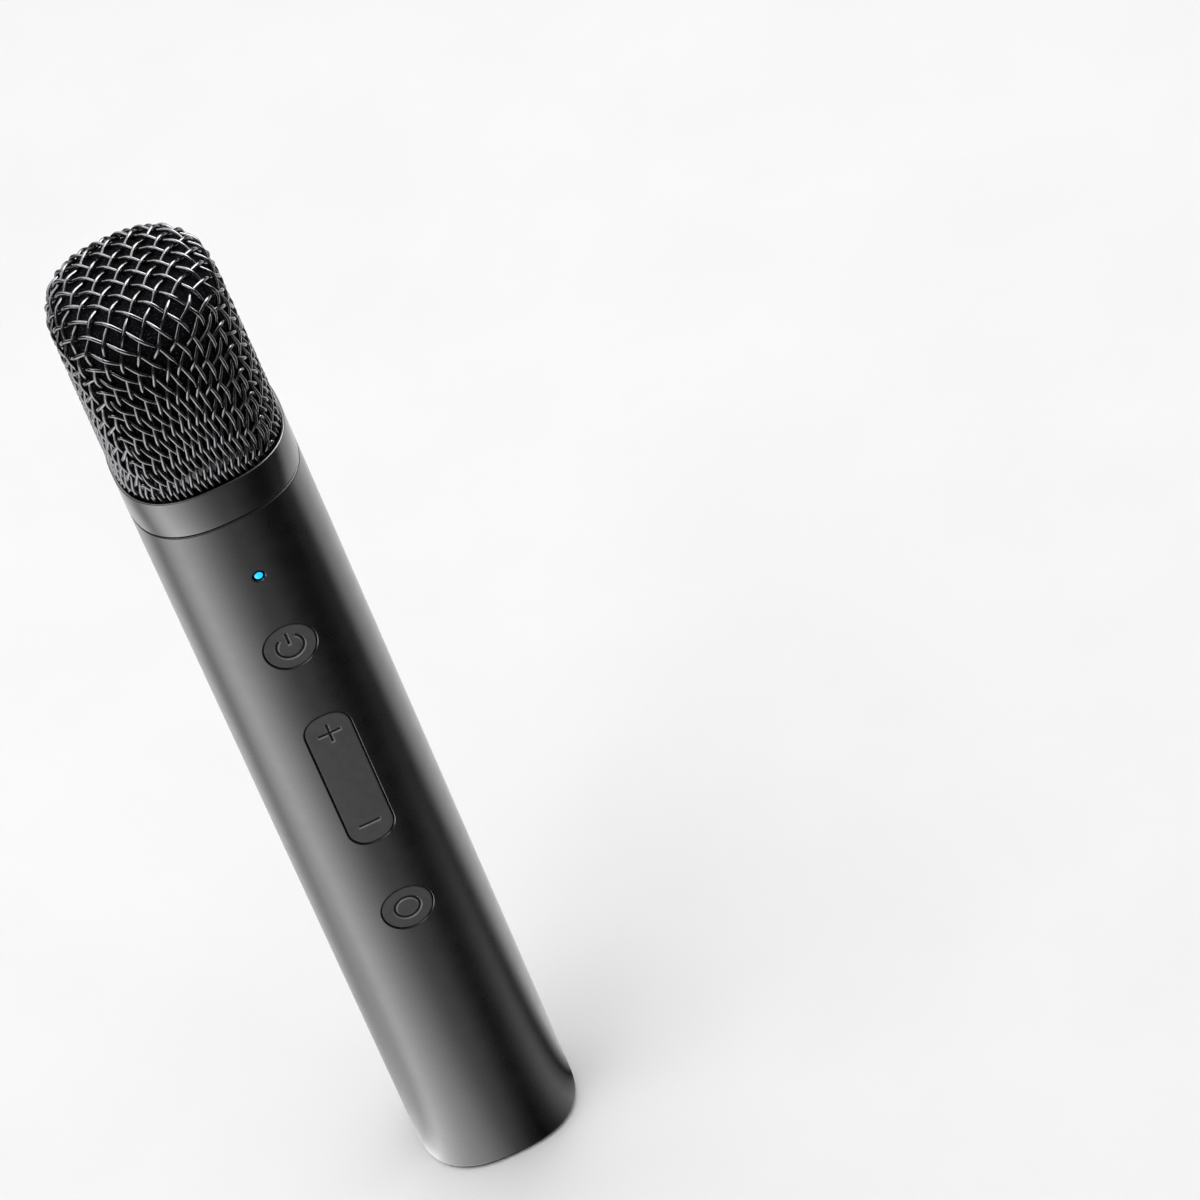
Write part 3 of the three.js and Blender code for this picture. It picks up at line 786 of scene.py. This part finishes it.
def quarter_net(inset):
    """The wire net drawn over a quarter of the head, as real woven wire stretches over a form.

    Every wire keeps its pitch from crossing to crossing, and the cells shear instead."""
    crossings, points = first_net(inset)
    place = {crossing: k for k, crossing in enumerate(crossings)}

    def pairs(start, end):
        made = []
        for i, j in crossings:
            a = place.get((i + start[0], j + start[1]))
            b = place.get((i + end[0], j + end[1]))
            if a is not None and b is not None:
                made.append((a, b))
        return np.array(made)

    edges = np.vstack([pairs((0, 0), (1, 0)), pairs((0, 0), (0, 1))])
    across = pairs((1, 0), (0, 1))
    along = pairs((0, 0), (1, 1))
    right = [place[k, 0] for k in range(NET_ROWS + 1)]
    left = [place[0, k] for k in range(NET_ROWS + 1)]
    firm, slight, eased = 0.8, 0.02, 0.45
    for _ in range(NET_TURNS):
        move = pulled(points, edges, WIRE_PITCH, firm)
        move += pulled(points, across, WIRE_CLOSEST, firm, only_short=True)
        move += pulled(points, along, WIRE_CLOSEST, firm, only_short=True)
        move += pulled(points, across, WIRE_PITCH * math.sqrt(2), slight)
        points = points + eased * move
        points[right, :2] = points[right, :2].mean(axis=1)[:, None]
        half = (points[left, 0] - points[left, 1]) / 2
        points[left, 0], points[left, 1] = half, -half
        points[place[0, 0], :2] = 0
        points = onto_head(points, inset)
    return {crossing: points[k] for crossing, k in place.items()}


def whole_net(inset):
    """The net over the whole head, by its warp and weft numbers."""
    quarter = quarter_net(inset)
    net = {}
    for (i, j), (x, y, z) in quarter.items():
        net[i, j] = (x, y, z)
        net[j, -i] = (-y, x, z)
        net[-i, -j] = (-x, -y, z)
        net[-j, i] = (y, -x, z)
    return {crossing: np.array(point) for crossing, point in net.items()}


def smooth_line(knots, steps):
    """A smooth line through points, with a number of steps between each two."""
    knots = np.vstack([2 * knots[0] - knots[1], knots, 2 * knots[-1] - knots[-2]])
    made = []
    for k in range(1, len(knots) - 2):
        a, b, c, d = knots[k - 1 : k + 3]
        for t in np.arange(steps) / steps:
            made.append(
                b
                + 0.5 * t * (c - a)
                + t**2 * (a - 2.5 * b + 2 * c - 0.5 * d)
                + t**3 * (1.5 * (b - c) + 0.5 * (d - a))
            )
    made.append(knots[-2])
    return np.array(made)


def woven_wire(crossings, net, sign, inset):
    """The centre line and the outward normals of one wire, weaving over and under the others."""
    steps = 5
    knots = np.array([net[crossing] for crossing in crossings])
    knots += np.array([noise.noise_vector(Vector(knot) * STRAY_RATE) for knot in knots]) * UNEVEN
    line = onto_head(smooth_line(knots, steps), inset)
    normals = head_normals(line, inset)
    phase = np.arange(len(line)) / steps
    first = sum(crossings[0]) % 2
    wave = sign * (1 - 2 * first) * np.cos(math.pi * phase)
    tuck = np.clip((COLLAR_HIGH + TUCK_HIGH - line[:, 2]) / TUCK_HIGH, 0, 1) ** 2 * (HEAD_LOW - SEAT)
    return line + normals * (wave * WIRE / 2 - tuck)[:, None], normals


def wire_tube(shell, line, normals, sides=8):
    """A round tube along a wire, closed at its ends."""
    along = np.gradient(line, axis=0)
    along /= np.linalg.norm(along, axis=1)[:, None]
    across = np.cross(along, normals)
    across /= np.linalg.norm(across, axis=1)[:, None]
    up = np.cross(across, along)
    spokes = circle(1, count=sides) @ np.stack([across, up], axis=1)
    loops = [shell.loop(centre + around * WIRE / 2) for centre, around in zip(line, spokes)]
    shell.stack(loops)
    shell.fan(loops[0], line[0])
    shell.fan(loops[-1], line[-1])


def grille_wires():
    """Warp and weft wires over the whole head, cut off at the collar."""
    noise.seed_set(STRAY_SEED)
    inset = WIRE
    net = whole_net(inset)
    lowest = COLLAR_HIGH - SEAT_DEPTH + 0.5
    shell = Shell()
    for number in range(2 - NET_ROWS, NET_ROWS - 1):
        last = NET_ROWS - abs(number)
        warp = [(k, number) for k in range(-last, last + 1)]
        weft = [(number, k) for k in range(-last, last + 1)]
        for crossings, sign in ((warp, 1), (weft, -1)):
            line, normals = woven_wire(crossings, net, sign, inset)
            kept = np.flatnonzero(line[:, 2] > lowest)
            for run in np.split(kept, np.flatnonzero(np.diff(kept) > 1) + 1):
                if len(run) > 3:
                    wire_tube(shell, line[run], normals[run])
    return shell.object("grille_wires", sharp_deg=80)


def foam_windscreen():
    """Open-cell foam that follows the grille from inside, with a rough pored surface and a bore."""
    foot = millimetres("foam_windscreen")[0][2]
    ceiling = millimetres("capsule_housing")[1][2] + 6
    skirt_half = SLEEVE_HALF - 1.2
    dome_low = COLLAR_HIGH + 5.3
    columns = 224
    step = 0.45
    bore = circle(FOAM_BORE, count=columns)
    line, lengths = head_profile(0.0, FOAM_INSET)
    until = np.interp(-dome_low, -line[:, 1], lengths)
    arcs = np.linspace(0.5, until, round(until / step))
    profile = [(np.interp(s, lengths, line[:, 0]), np.interp(s, lengths, line[:, 1])) for s in arcs]
    profile += [(skirt_half, dome_low - 0.05)]
    profile += [(skirt_half, z) for z in np.linspace(dome_low - 1, foot, 6)]
    shell = Shell()
    loops = []
    for half, z in profile:
        points = at_height(ring(half, columns), z)
        loops.append(shell.loop([pored(point) for point in points]))
    loops += [shell.loop(at_height(bore, z)) for z in (foot, ceiling)]
    shell.stack(loops)
    shell.fan(loops[0], (0, 0, HEAD_TOP - FOAM_INSET))
    shell.fan(loops[-1], (0, 0, ceiling))
    return shell.object("foam_windscreen_pores", sharp_deg=60)


def pored(point):
    """A point of the foam's face, sunk where a pore opens."""
    pore = noise.voronoi(Vector(point) * PORE_RATE)[0][0]
    rough = noise.noise(Vector(point) * 0.5)
    sunk = PORE_DEPTH * max(0.0, PORE_REACH - pore) + 0.12 * max(0.0, rough)
    inward = np.array([0, 0, min(point[2], FOAM_CENTRE_Z)]) - point
    return point + inward / np.linalg.norm(inward) * sunk


# ---- Materials ----


def add_node(tree, kind, inputs=None, **settings):
    """A new shader node. Each input is a value, or another node's output."""
    made = tree.nodes.new(kind)
    for key, value in settings.items():
        setattr(made, key, value)
    for key, value in (inputs or {}).items():
        if isinstance(value, bpy.types.NodeSocket):
            tree.links.new(value, made.inputs[key])
        else:
            made.inputs[key].default_value = value
    return made


class Finish:
    """A material built up from procedural layers, at real scale in object space.

    A layer's pattern is a node's output, or the settings of a noise: (size in mm, detail, stretch)."""

    def __init__(self, name, colour, roughness, metallic=0.0, **sockets):
        self.material = bpy.data.materials.new(name)
        self.material.use_nodes = True
        self.tree = self.material.node_tree
        self.shader = self.tree.nodes["Principled BSDF"]
        self.place = self.node("ShaderNodeTexCoord").outputs["Object"]
        self.height = None
        self.colour = (*colour, 1)
        self.roughness = roughness
        whole = {"Base_Color": self.colour, "Roughness": roughness, "Metallic": metallic}
        for socket, value in {**whole, **sockets}.items():
            self.shader.inputs[socket.replace("_", " ")].default_value = value

    def node(self, kind, inputs=None, **settings):
        return add_node(self.tree, kind, inputs, **settings)

    def noise(self, size_mm, detail, stretch=(1, 1, 1)):
        """A noise pattern whose marks are about that size."""
        scaled = self.node("ShaderNodeMapping", {"Vector": self.place, "Scale": stretch})
        inputs = {"Vector": scaled.outputs[0], "Scale": 1 / (size_mm * MM), "Detail": detail}
        return self.node("ShaderNodeTexNoise", inputs).outputs[0]

    def cells(self, size_mm):
        inputs = {"Vector": self.place, "Scale": 1 / (size_mm * MM)}
        return self.node("ShaderNodeTexVoronoi", inputs, feature="F1").outputs["Distance"]

    def output(self, pattern):
        return self.noise(*pattern) if isinstance(pattern, tuple) else pattern

    def spread(self, pattern, low, high, start=0.3, end=0.7):
        inputs = {0: self.output(pattern), 1: start, 2: end, 3: low, 4: high}
        return self.node("ShaderNodeMapRange", inputs).outputs[0]

    def tint(self, pattern, other, start=0.3, end=0.7):
        """Blends the colour so far towards another one where the pattern is high."""
        share = self.spread(pattern, 0, 1, start, end)
        socket = self.shader.inputs["Base Color"]
        before = socket.links[0].from_socket if socket.links else self.colour
        inputs = {"Factor": share, 6: before, 7: (*other, 1)}
        mixed = self.node("ShaderNodeMix", inputs, data_type="RGBA")
        self.tree.links.new(mixed.outputs[2], socket)
        return self

    def roughen(self, pattern, amount):
        value = self.spread(pattern, self.roughness - amount, self.roughness + amount)
        self.tree.links.new(value, self.shader.inputs["Roughness"])
        return self

    def bump(self, pattern, depth_mm, strength=1.0):
        height = self.output(pattern)
        inputs = {"Height": height, "Distance": depth_mm * MM, "Strength": strength}
        if self.height is not None:
            inputs["Normal"] = self.height
        self.height = self.node("ShaderNodeBump", inputs).outputs[0]
        self.tree.links.new(self.height, self.shader.inputs["Normal"])
        return self


def anodised(name, roughness, ior=1.75):
    """Bead-blasted aluminium, anodised satin black."""
    finish = Finish(name, (0.004, 0.004, 0.0042), roughness, IOR=ior)
    finish.tint((0.16, 3), (0.0075, 0.0075, 0.008))
    finish.tint((6, 2), (0.003, 0.003, 0.0033), 0.4, 0.9)
    finish.roughen((3.5, 4), 0.025)
    return finish.bump((0.14, 3), 0.006, 0.25).material


def black_nickel():
    finish = Finish("black_nickel_wire", (0.17, 0.17, 0.175), 0.17, 1.0)
    finish.tint((0.9, 3), (0.11, 0.11, 0.115), 0.35, 0.8)
    finish.roughen((0.35, 3), 0.06)
    return finish.bump((0.12, 2), 0.006, 0.4).material


def open_foam():
    finish = Finish("open_cell_foam", (0.004, 0.004, 0.005), 0.95, Specular_IOR_Level=0.05)
    finish.tint((0.35, 3), (0.045, 0.045, 0.05), 0.58, 0.72)
    finish.bump(finish.cells(0.55), 0.25, 0.8)
    return finish.bump((0.2, 3), 0.08, 0.6).material


def soft_touch():
    finish = Finish("soft_touch_keys", (0.055, 0.055, 0.054), 0.72, Specular_IOR_Level=0.16)
    finish.tint((0.12, 2), (0.066, 0.066, 0.065))
    finish.tint((2.5, 3), (0.05, 0.05, 0.049), 0.4, 0.8)
    finish.roughen((1.5, 3), 0.06)
    return finish.bump((0.1, 3), 0.01, 0.35).material


def painted_groove_shade():
    """Painted shade: a dark colour on the floors of the marks, standing in for the shadow that falls in
    the grooves.
    """
    finish = Finish("painted_groove_shade", (0.008, 0.008, 0.008), 0.8, Specular_IOR_Level=0.1)
    finish.tint((0.15, 3), (0.014, 0.014, 0.014))
    finish.roughen((0.3, 3), 0.06)
    return finish.bump((0.1, 3), 0.01, 0.4).material


def polished_side_painted_highlight():
    """The sides of the marks: smoother and glossier than the soft face round them, and painted lighter as
    a painted highlight that stands in for light falling on their lower walls.
    """
    finish = Finish("polished_mark_side_painted_highlight", (0.17, 0.17, 0.168), 0.38)
    finish.tint((0.15, 3), (0.2, 0.2, 0.198))
    finish.roughen((0.3, 3), 0.05)
    return finish.bump((0.1, 3), 0.005, 0.2).material


def moulded_plastic():
    finish = Finish("moulded_black_plastic", (0.012, 0.012, 0.013), 0.5)
    finish.tint((0.3, 3), (0.02, 0.02, 0.021))
    finish.roughen((1.2, 3), 0.08)
    finish.bump((0.18, 4), 0.02, 0.5)
    edges = finish.node("ShaderNodeNewGeometry").outputs["Pointiness"]
    return finish.tint(edges, (0.035, 0.035, 0.036), 0.52, 0.6).material


def matte_rubber():
    finish = Finish("matte_rubber", (0.012, 0.012, 0.012), 0.85)
    finish.tint((0.8, 4), (0.022, 0.022, 0.021), 0.4, 0.8)
    finish.roughen((0.5, 3), 0.08)
    return finish.bump((0.3, 4), 0.03, 0.5).material


def solder_mask():
    finish = Finish("solder_mask_board", (0.012, 0.07, 0.03), 0.42)
    finish.tint(finish.cells(0.45), (0.016, 0.09, 0.04), 0.2, 0.6)
    finish.tint((2.2, 0, (1, 0.2, 1)), (0.05, 0.12, 0.03), 0.56, 0.6)
    finish.roughen((1.0, 3), 0.08)
    return finish.bump(finish.cells(0.5), 0.02, 0.4).material


def nickel_plate():
    finish = Finish("nickel_plate", (0.5, 0.49, 0.47), 0.3, 1.0)
    finish.tint((1.5, 4, (1, 1, 6)), (0.4, 0.39, 0.37))
    finish.roughen((0.4, 4), 0.1)
    return finish.bump((0.2, 3, (1, 1, 8)), 0.008, 0.4).material


def sintered_magnet():
    finish = Finish("sintered_magnet", (0.1, 0.1, 0.11), 0.48, 0.9)
    finish.tint((0.5, 5), (0.15, 0.15, 0.16))
    finish.roughen((0.6, 4), 0.12)
    return finish.bump((0.25, 5), 0.03, 0.5).material


def enamelled_copper():
    finish = Finish("enamelled_copper", (0.48, 0.17, 0.05), 0.35, 0.9)
    finish.tint((0.15, 2, (0.1, 0.1, 1)), (0.3, 0.09, 0.025))
    finish.roughen((0.6, 3), 0.08)
    return finish.bump((0.12, 1, (0.05, 0.05, 1)), 0.05, 0.8).material


def polyester_film():
    finish = Finish("polyester_film", (0.6, 0.56, 0.45), 0.22)
    finish.tint((3, 3), (0.52, 0.47, 0.36))
    finish.roughen((1.5, 3), 0.06)
    return finish.bump((1.2, 2), 0.03, 0.4).material


def shrink_sleeve():
    finish = Finish("shrink_sleeve", (0.03, 0.15, 0.42), 0.36)
    finish.tint((5, 3), (0.02, 0.11, 0.34))
    finish.roughen((2, 3), 0.07)
    return finish.bump((4, 2, (1, 1, 0.3)), 0.15, 0.4).material


def insulation(name, colour, shade):
    finish = Finish(name, colour, 0.42)
    finish.tint((1.2, 3), shade)
    finish.roughen((0.8, 3), 0.08)
    return finish.bump((0.5, 2), 0.02, 0.4).material


def amber_flex():
    finish = Finish("amber_flex", (0.55, 0.18, 0.02), 0.32)
    finish.tint((0.35, 0, (1, 0.02, 0.02)), (0.4, 0.11, 0.012), 0.48, 0.52)
    finish.roughen((1, 3), 0.06)
    return finish.bump((0.35, 0, (1, 0.02, 0.02)), 0.02, 0.6).material


def lit_lens():
    glow = {"Emission_Color": (0.0, 0.47, 1.0, 1), "Emission_Strength": 0.95}
    finish = Finish("lit_light_pipe", (0.02, 0.4, 0.9), 0.18, **glow)
    finish.tint((0.4, 2), (0.03, 0.46, 1.0))
    finish.roughen((0.3, 2), 0.04)
    return finish.bump((0.25, 2), 0.01, 0.3).material


def unlit_lens():
    """The rim of the light pipe, where its light doesn't come out."""
    finish = Finish("unlit_light_pipe", (0.001, 0.012, 0.035), 0.2)
    finish.tint((0.3, 2), (0.001, 0.018, 0.05))
    finish.roughen((0.3, 2), 0.04)
    return finish.bump((0.25, 2), 0.01, 0.3).material


def all_finishes():
    return {
        "anodised_body": anodised("anodised_tube", 0.285),
        "grille_wire": black_nickel(),
        "foam": open_foam(),
        "key_rubber": soft_touch(),
        "inner_plastic": moulded_plastic(),
        "soft_rubber": matte_rubber(),
        "circuit_board": solder_mask(),
        "plated_metal": nickel_plate(),
        "magnet": sintered_magnet(),
        "copper": enamelled_copper(),
        "clear_film": polyester_film(),
        "cell_wrap": shrink_sleeve(),
        "red_insulation": insulation("red_insulation", (0.42, 0.015, 0.012), (0.32, 0.01, 0.01)),
        "black_insulation": insulation("black_insulation", (0.01, 0.01, 0.01), (0.02, 0.02, 0.02)),
        "flat_cable": amber_flex(),
        "light_lens": lit_lens(),
    }


def dress(piece, node, body, slot, *materials):
    """Gives a new piece its finish and its body, and hides the CAD node that it stands for."""
    for material in materials:
        piece.data.materials.append(material)
    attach(piece, body)
    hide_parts(node)


# ---- Studio ----


def floor():
    half, z = 6000.0, -0.2
    shell = Shell()
    shell.face(shell.loop([(-half, -half, z), (half, -half, z), (half, half, z), (-half, half, z)]))
    made = shell.object("studio_floor")
    finish = Finish("pale_floor", (0.84, 0.84, 0.84), 0.85)
    finish.tint((40, 2), (0.86, 0.86, 0.86))
    finish.bump((0.6, 3), 0.02, 0.2)
    made.data.materials.append(finish.material)


# Brightness of the studio floor as gloss shows it, as (bearing from the front, brightness).
# Bearings are in degrees, positive to the right.
FAR_CARDS = (
    (-180, 1.1), (-135, 1.3), (-109, 0.65), (-85, 2.4), (-66, 3.6), (-40, 2.5), (-20, 1.3), (2, 0.2),
    (20, 0.0), (44, 0.0), (60, 0.12), (74, 0.02), (94, 1.1), (125, 1.3), (180, 1.2),
)
NEAR_CARDS = (
    (-180, 1.1), (-120, 1.0), (-94, 1.5), (-81, 1.7), (-62, 3.7), (-46, 3.2), (-35, 2.6), (-20, 1.9),
    (0, 0.5), (11, 0.12), (22, 0.0), (34, 0.15), (47, 0.55), (58, 0.7), (70, 0.3), (81, 0.0),
    (94, 0.6), (106, 1.3), (180, 1.2),
)
NEAR_REACH, FAR_REACH = 0.035, 0.15  # metres from the microphone's middle
BRIGHTEST = max(level for _, level in FAR_CARDS + NEAR_CARDS)


def card_ramp(tree, bearing, levels):
    """Turns a bearing, as a share of a turn, into a brightness."""
    ramp = add_node(tree, "ShaderNodeValToRGB", {0: bearing})
    stops = ramp.color_ramp.elements
    while len(stops) > 1:
        stops.remove(stops[-1])
    for k, (degrees, level) in enumerate(levels):
        at = 0.5 + degrees / 360
        stop = stops[0] if k == 0 else stops.new(at)
        stop.position = at
        stop.color = (*[level / BRIGHTEST] * 3, 1)
    return ramp.outputs[0]


def card_material():
    """Light that changes with the bearing, by one list close to the microphone and another far off."""
    material = bpy.data.materials.new("studio_cards")
    material.use_nodes = True
    tree = material.node_tree
    tree.nodes.clear()
    place = add_node(tree, "ShaderNodeTexCoord").outputs["Object"]
    turn = add_node(tree, "ShaderNodeMapping", {"Vector": place, "Rotation": (0, 0, math.radians(90))})
    gradient = add_node(tree, "ShaderNodeTexGradient", {0: turn.outputs[0]}, gradient_type="RADIAL")
    bearing = gradient.outputs[1]
    far_off = add_node(tree, "ShaderNodeVectorMath", {0: place}, operation="LENGTH").outputs["Value"]
    share = add_node(tree, "ShaderNodeMapRange", {0: far_off, 1: NEAR_REACH, 2: FAR_REACH}).outputs[0]
    levels = {0: share, 6: card_ramp(tree, bearing, NEAR_CARDS), 7: card_ramp(tree, bearing, FAR_CARDS)}
    blend = add_node(tree, "ShaderNodeMix", levels, data_type="RGBA").outputs[2]
    glow = add_node(tree, "ShaderNodeEmission", {"Color": blend, "Strength": BRIGHTEST}).outputs[0]
    add_node(tree, "ShaderNodeOutputMaterial", {0: glow})
    return material


def surround():
    """Light and dark cards that lie round the microphone and are seen only in its gloss."""
    inner, outer, height = 8.0, 2500.0, 0.3
    shell = Shell()
    shell.stack([shell.loop(at_height(circle(r, count=96), height)) for r in (inner, outer)])
    made = shell.object("studio_cards")
    made.data.materials.append(card_material())
    for ray in ("camera", "diffuse", "transmission", "volume_scatter", "shadow"):
        setattr(made, f"visible_{ray}", False)


def softbox(name, place, aim, size, watts, gloss_only=False):
    """A square soft light, unseen by the camera. It may add to the gloss alone."""
    data = bpy.data.lights.new(name, "AREA")
    data.size = size
    data.energy = watts
    lamp = bpy.data.objects.new(name, data)
    lamp.location = place
    lamp.rotation_mode = "QUATERNION"
    lamp.rotation_quaternion = (Vector(aim) - Vector(place)).to_track_quat("-Z", "Y")
    lamp.visible_camera = False
    lamp.visible_diffuse = not gloss_only
    bpy.context.scene.collection.objects.link(lamp)


def lights():
    head = (0, 0, 0.2)
    softbox("key_light", (-0.6, -0.3, 1.05), head, 0.8, 3.6)
    softbox("back_light", (0.35, 0.7, 0.95), head, 0.7, 1.8)
    softbox("top_light", (0.0, 0.05, 1.6), (0, 0, 0), 1.6, 9)
    softbox("right_gloss", (0.62, 0.25, 0.94), head, 0.8, 18, gloss_only=True)
    softbox("back_gloss", (-0.1, 0.55, 0.9), head, 1.1, 9, gloss_only=True)


def backdrop():
    """Pale all round to the camera, dimmer as a light, and nearly dark in gloss."""
    world = bpy.data.worlds.new("studio")
    bpy.context.scene.world = world
    world.use_nodes = True
    tree = world.node_tree
    tree.nodes.clear()

    def glow(*colour):
        return add_node(tree, "ShaderNodeBackground", {"Color": (*colour, 1)}).outputs[0]

    def choose(kind_of_ray, otherwise, then):
        ray = add_node(tree, "ShaderNodeLightPath").outputs[kind_of_ray]
        return add_node(tree, "ShaderNodeMixShader", {0: ray, 1: otherwise, 2: then}).outputs[0]

    unseen = choose("Is Glossy Ray", glow(0.55, 0.55, 0.555), glow(0.06, 0.06, 0.061))
    whole = choose("Is Camera Ray", unseen, glow(0.93, 0.93, 0.93))
    add_node(tree, "ShaderNodeOutputWorld", {0: whole})


CAMERA_PLACE = Vector((-0.01215, -0.99936, 1.00571))
CAMERA_HEADING_DEG = 4.05  # to the right of straight ahead, along +Y
CAMERA_DOWN_DEG = 41.72
CAMERA_ROLL_DEG = -21.99
LENS_MM = 207.6  # on a sensor 36 mm wide


def camera():
    """A long lens from above the front, rolled so that the microphone lies across the picture."""
    heading, down = math.radians(CAMERA_HEADING_DEG), math.radians(CAMERA_DOWN_DEG)
    flat = Vector((math.sin(heading), math.cos(heading), 0))
    forward = flat * math.cos(down) - Vector((0, 0, math.sin(down)))
    level_right = forward.cross(Vector((0, 0, 1))).normalized()
    level_up = level_right.cross(forward)
    roll = math.radians(CAMERA_ROLL_DEG)
    right = level_right * math.cos(roll) + level_up * math.sin(roll)
    up = level_up * math.cos(roll) - level_right * math.sin(roll)
    data = bpy.data.cameras.new("camera")
    data.lens = LENS_MM
    data.sensor_width = 36
    made = bpy.data.objects.new("camera", data)
    turn = Matrix((right, up, -forward)).transposed().to_4x4()
    made.matrix_world = Matrix.Translation(CAMERA_PLACE) @ turn
    bpy.context.scene.collection.objects.link(made)
    bpy.context.scene.camera = made


# ---- Assembly ----

bpy.context.scene.view_settings.view_transform = "Standard"
camera()
backdrop()
lights()
floor()
surround()

finishes = all_finishes()
collar_finish = anodised("anodised_collar", 0.24, 1.85)
# The marks' painted shade on their floors and painted highlight on their sides.
mark_shade_and_highlight = (painted_groove_shade(), polished_side_painted_highlight())

for subpart in frame["record"]["subparts"]:
    node = frame["nodes"][subpart["node"]]
    node.material_slots[0].material = finishes[subpart["material_slot"]]

power_marks = arc_mark(2.7, 34) + moved(bar_mark(GROOVE_HALF, 1.6), 0, 1.9)

PIECES = (
    (body_shell(), "body_shell", "anodised_body", finishes["anodised_body"]),
    (head_collar(), "head_collar", "anodised_body", collar_finish),
    (bottom_cap(), "bottom_cap", "inner_plastic", finishes["inner_plastic"]),
    (grille_wires(), "grille_mesh", "grille_wire", finishes["grille_wire"]),
    (light_pipe(), "led_light_pipe", "light_lens", finishes["light_lens"], unlit_lens()),
)
for piece, node, slot, *materials in PIECES:
    dress(piece, node, "microphone", slot, *materials)

KEYS = (
    (round_key("power_key_face", "power_button_cap", power_marks), "power_button_cap", "power_key"),
    (round_key("mode_key_face", "mode_button_cap", ring_mark(2.55)), "mode_button_cap", "mode_key"),
    (rocker_key(), "volume_rocker", "rocker_key"),
)
for piece, node, body in KEYS:
    dress(piece, node, body, "key_rubber", finishes["key_rubber"], *mark_shade_and_highlight)

foam = foam_windscreen()
dress(foam, "foam_windscreen", "microphone", "foam", finishes["foam"])
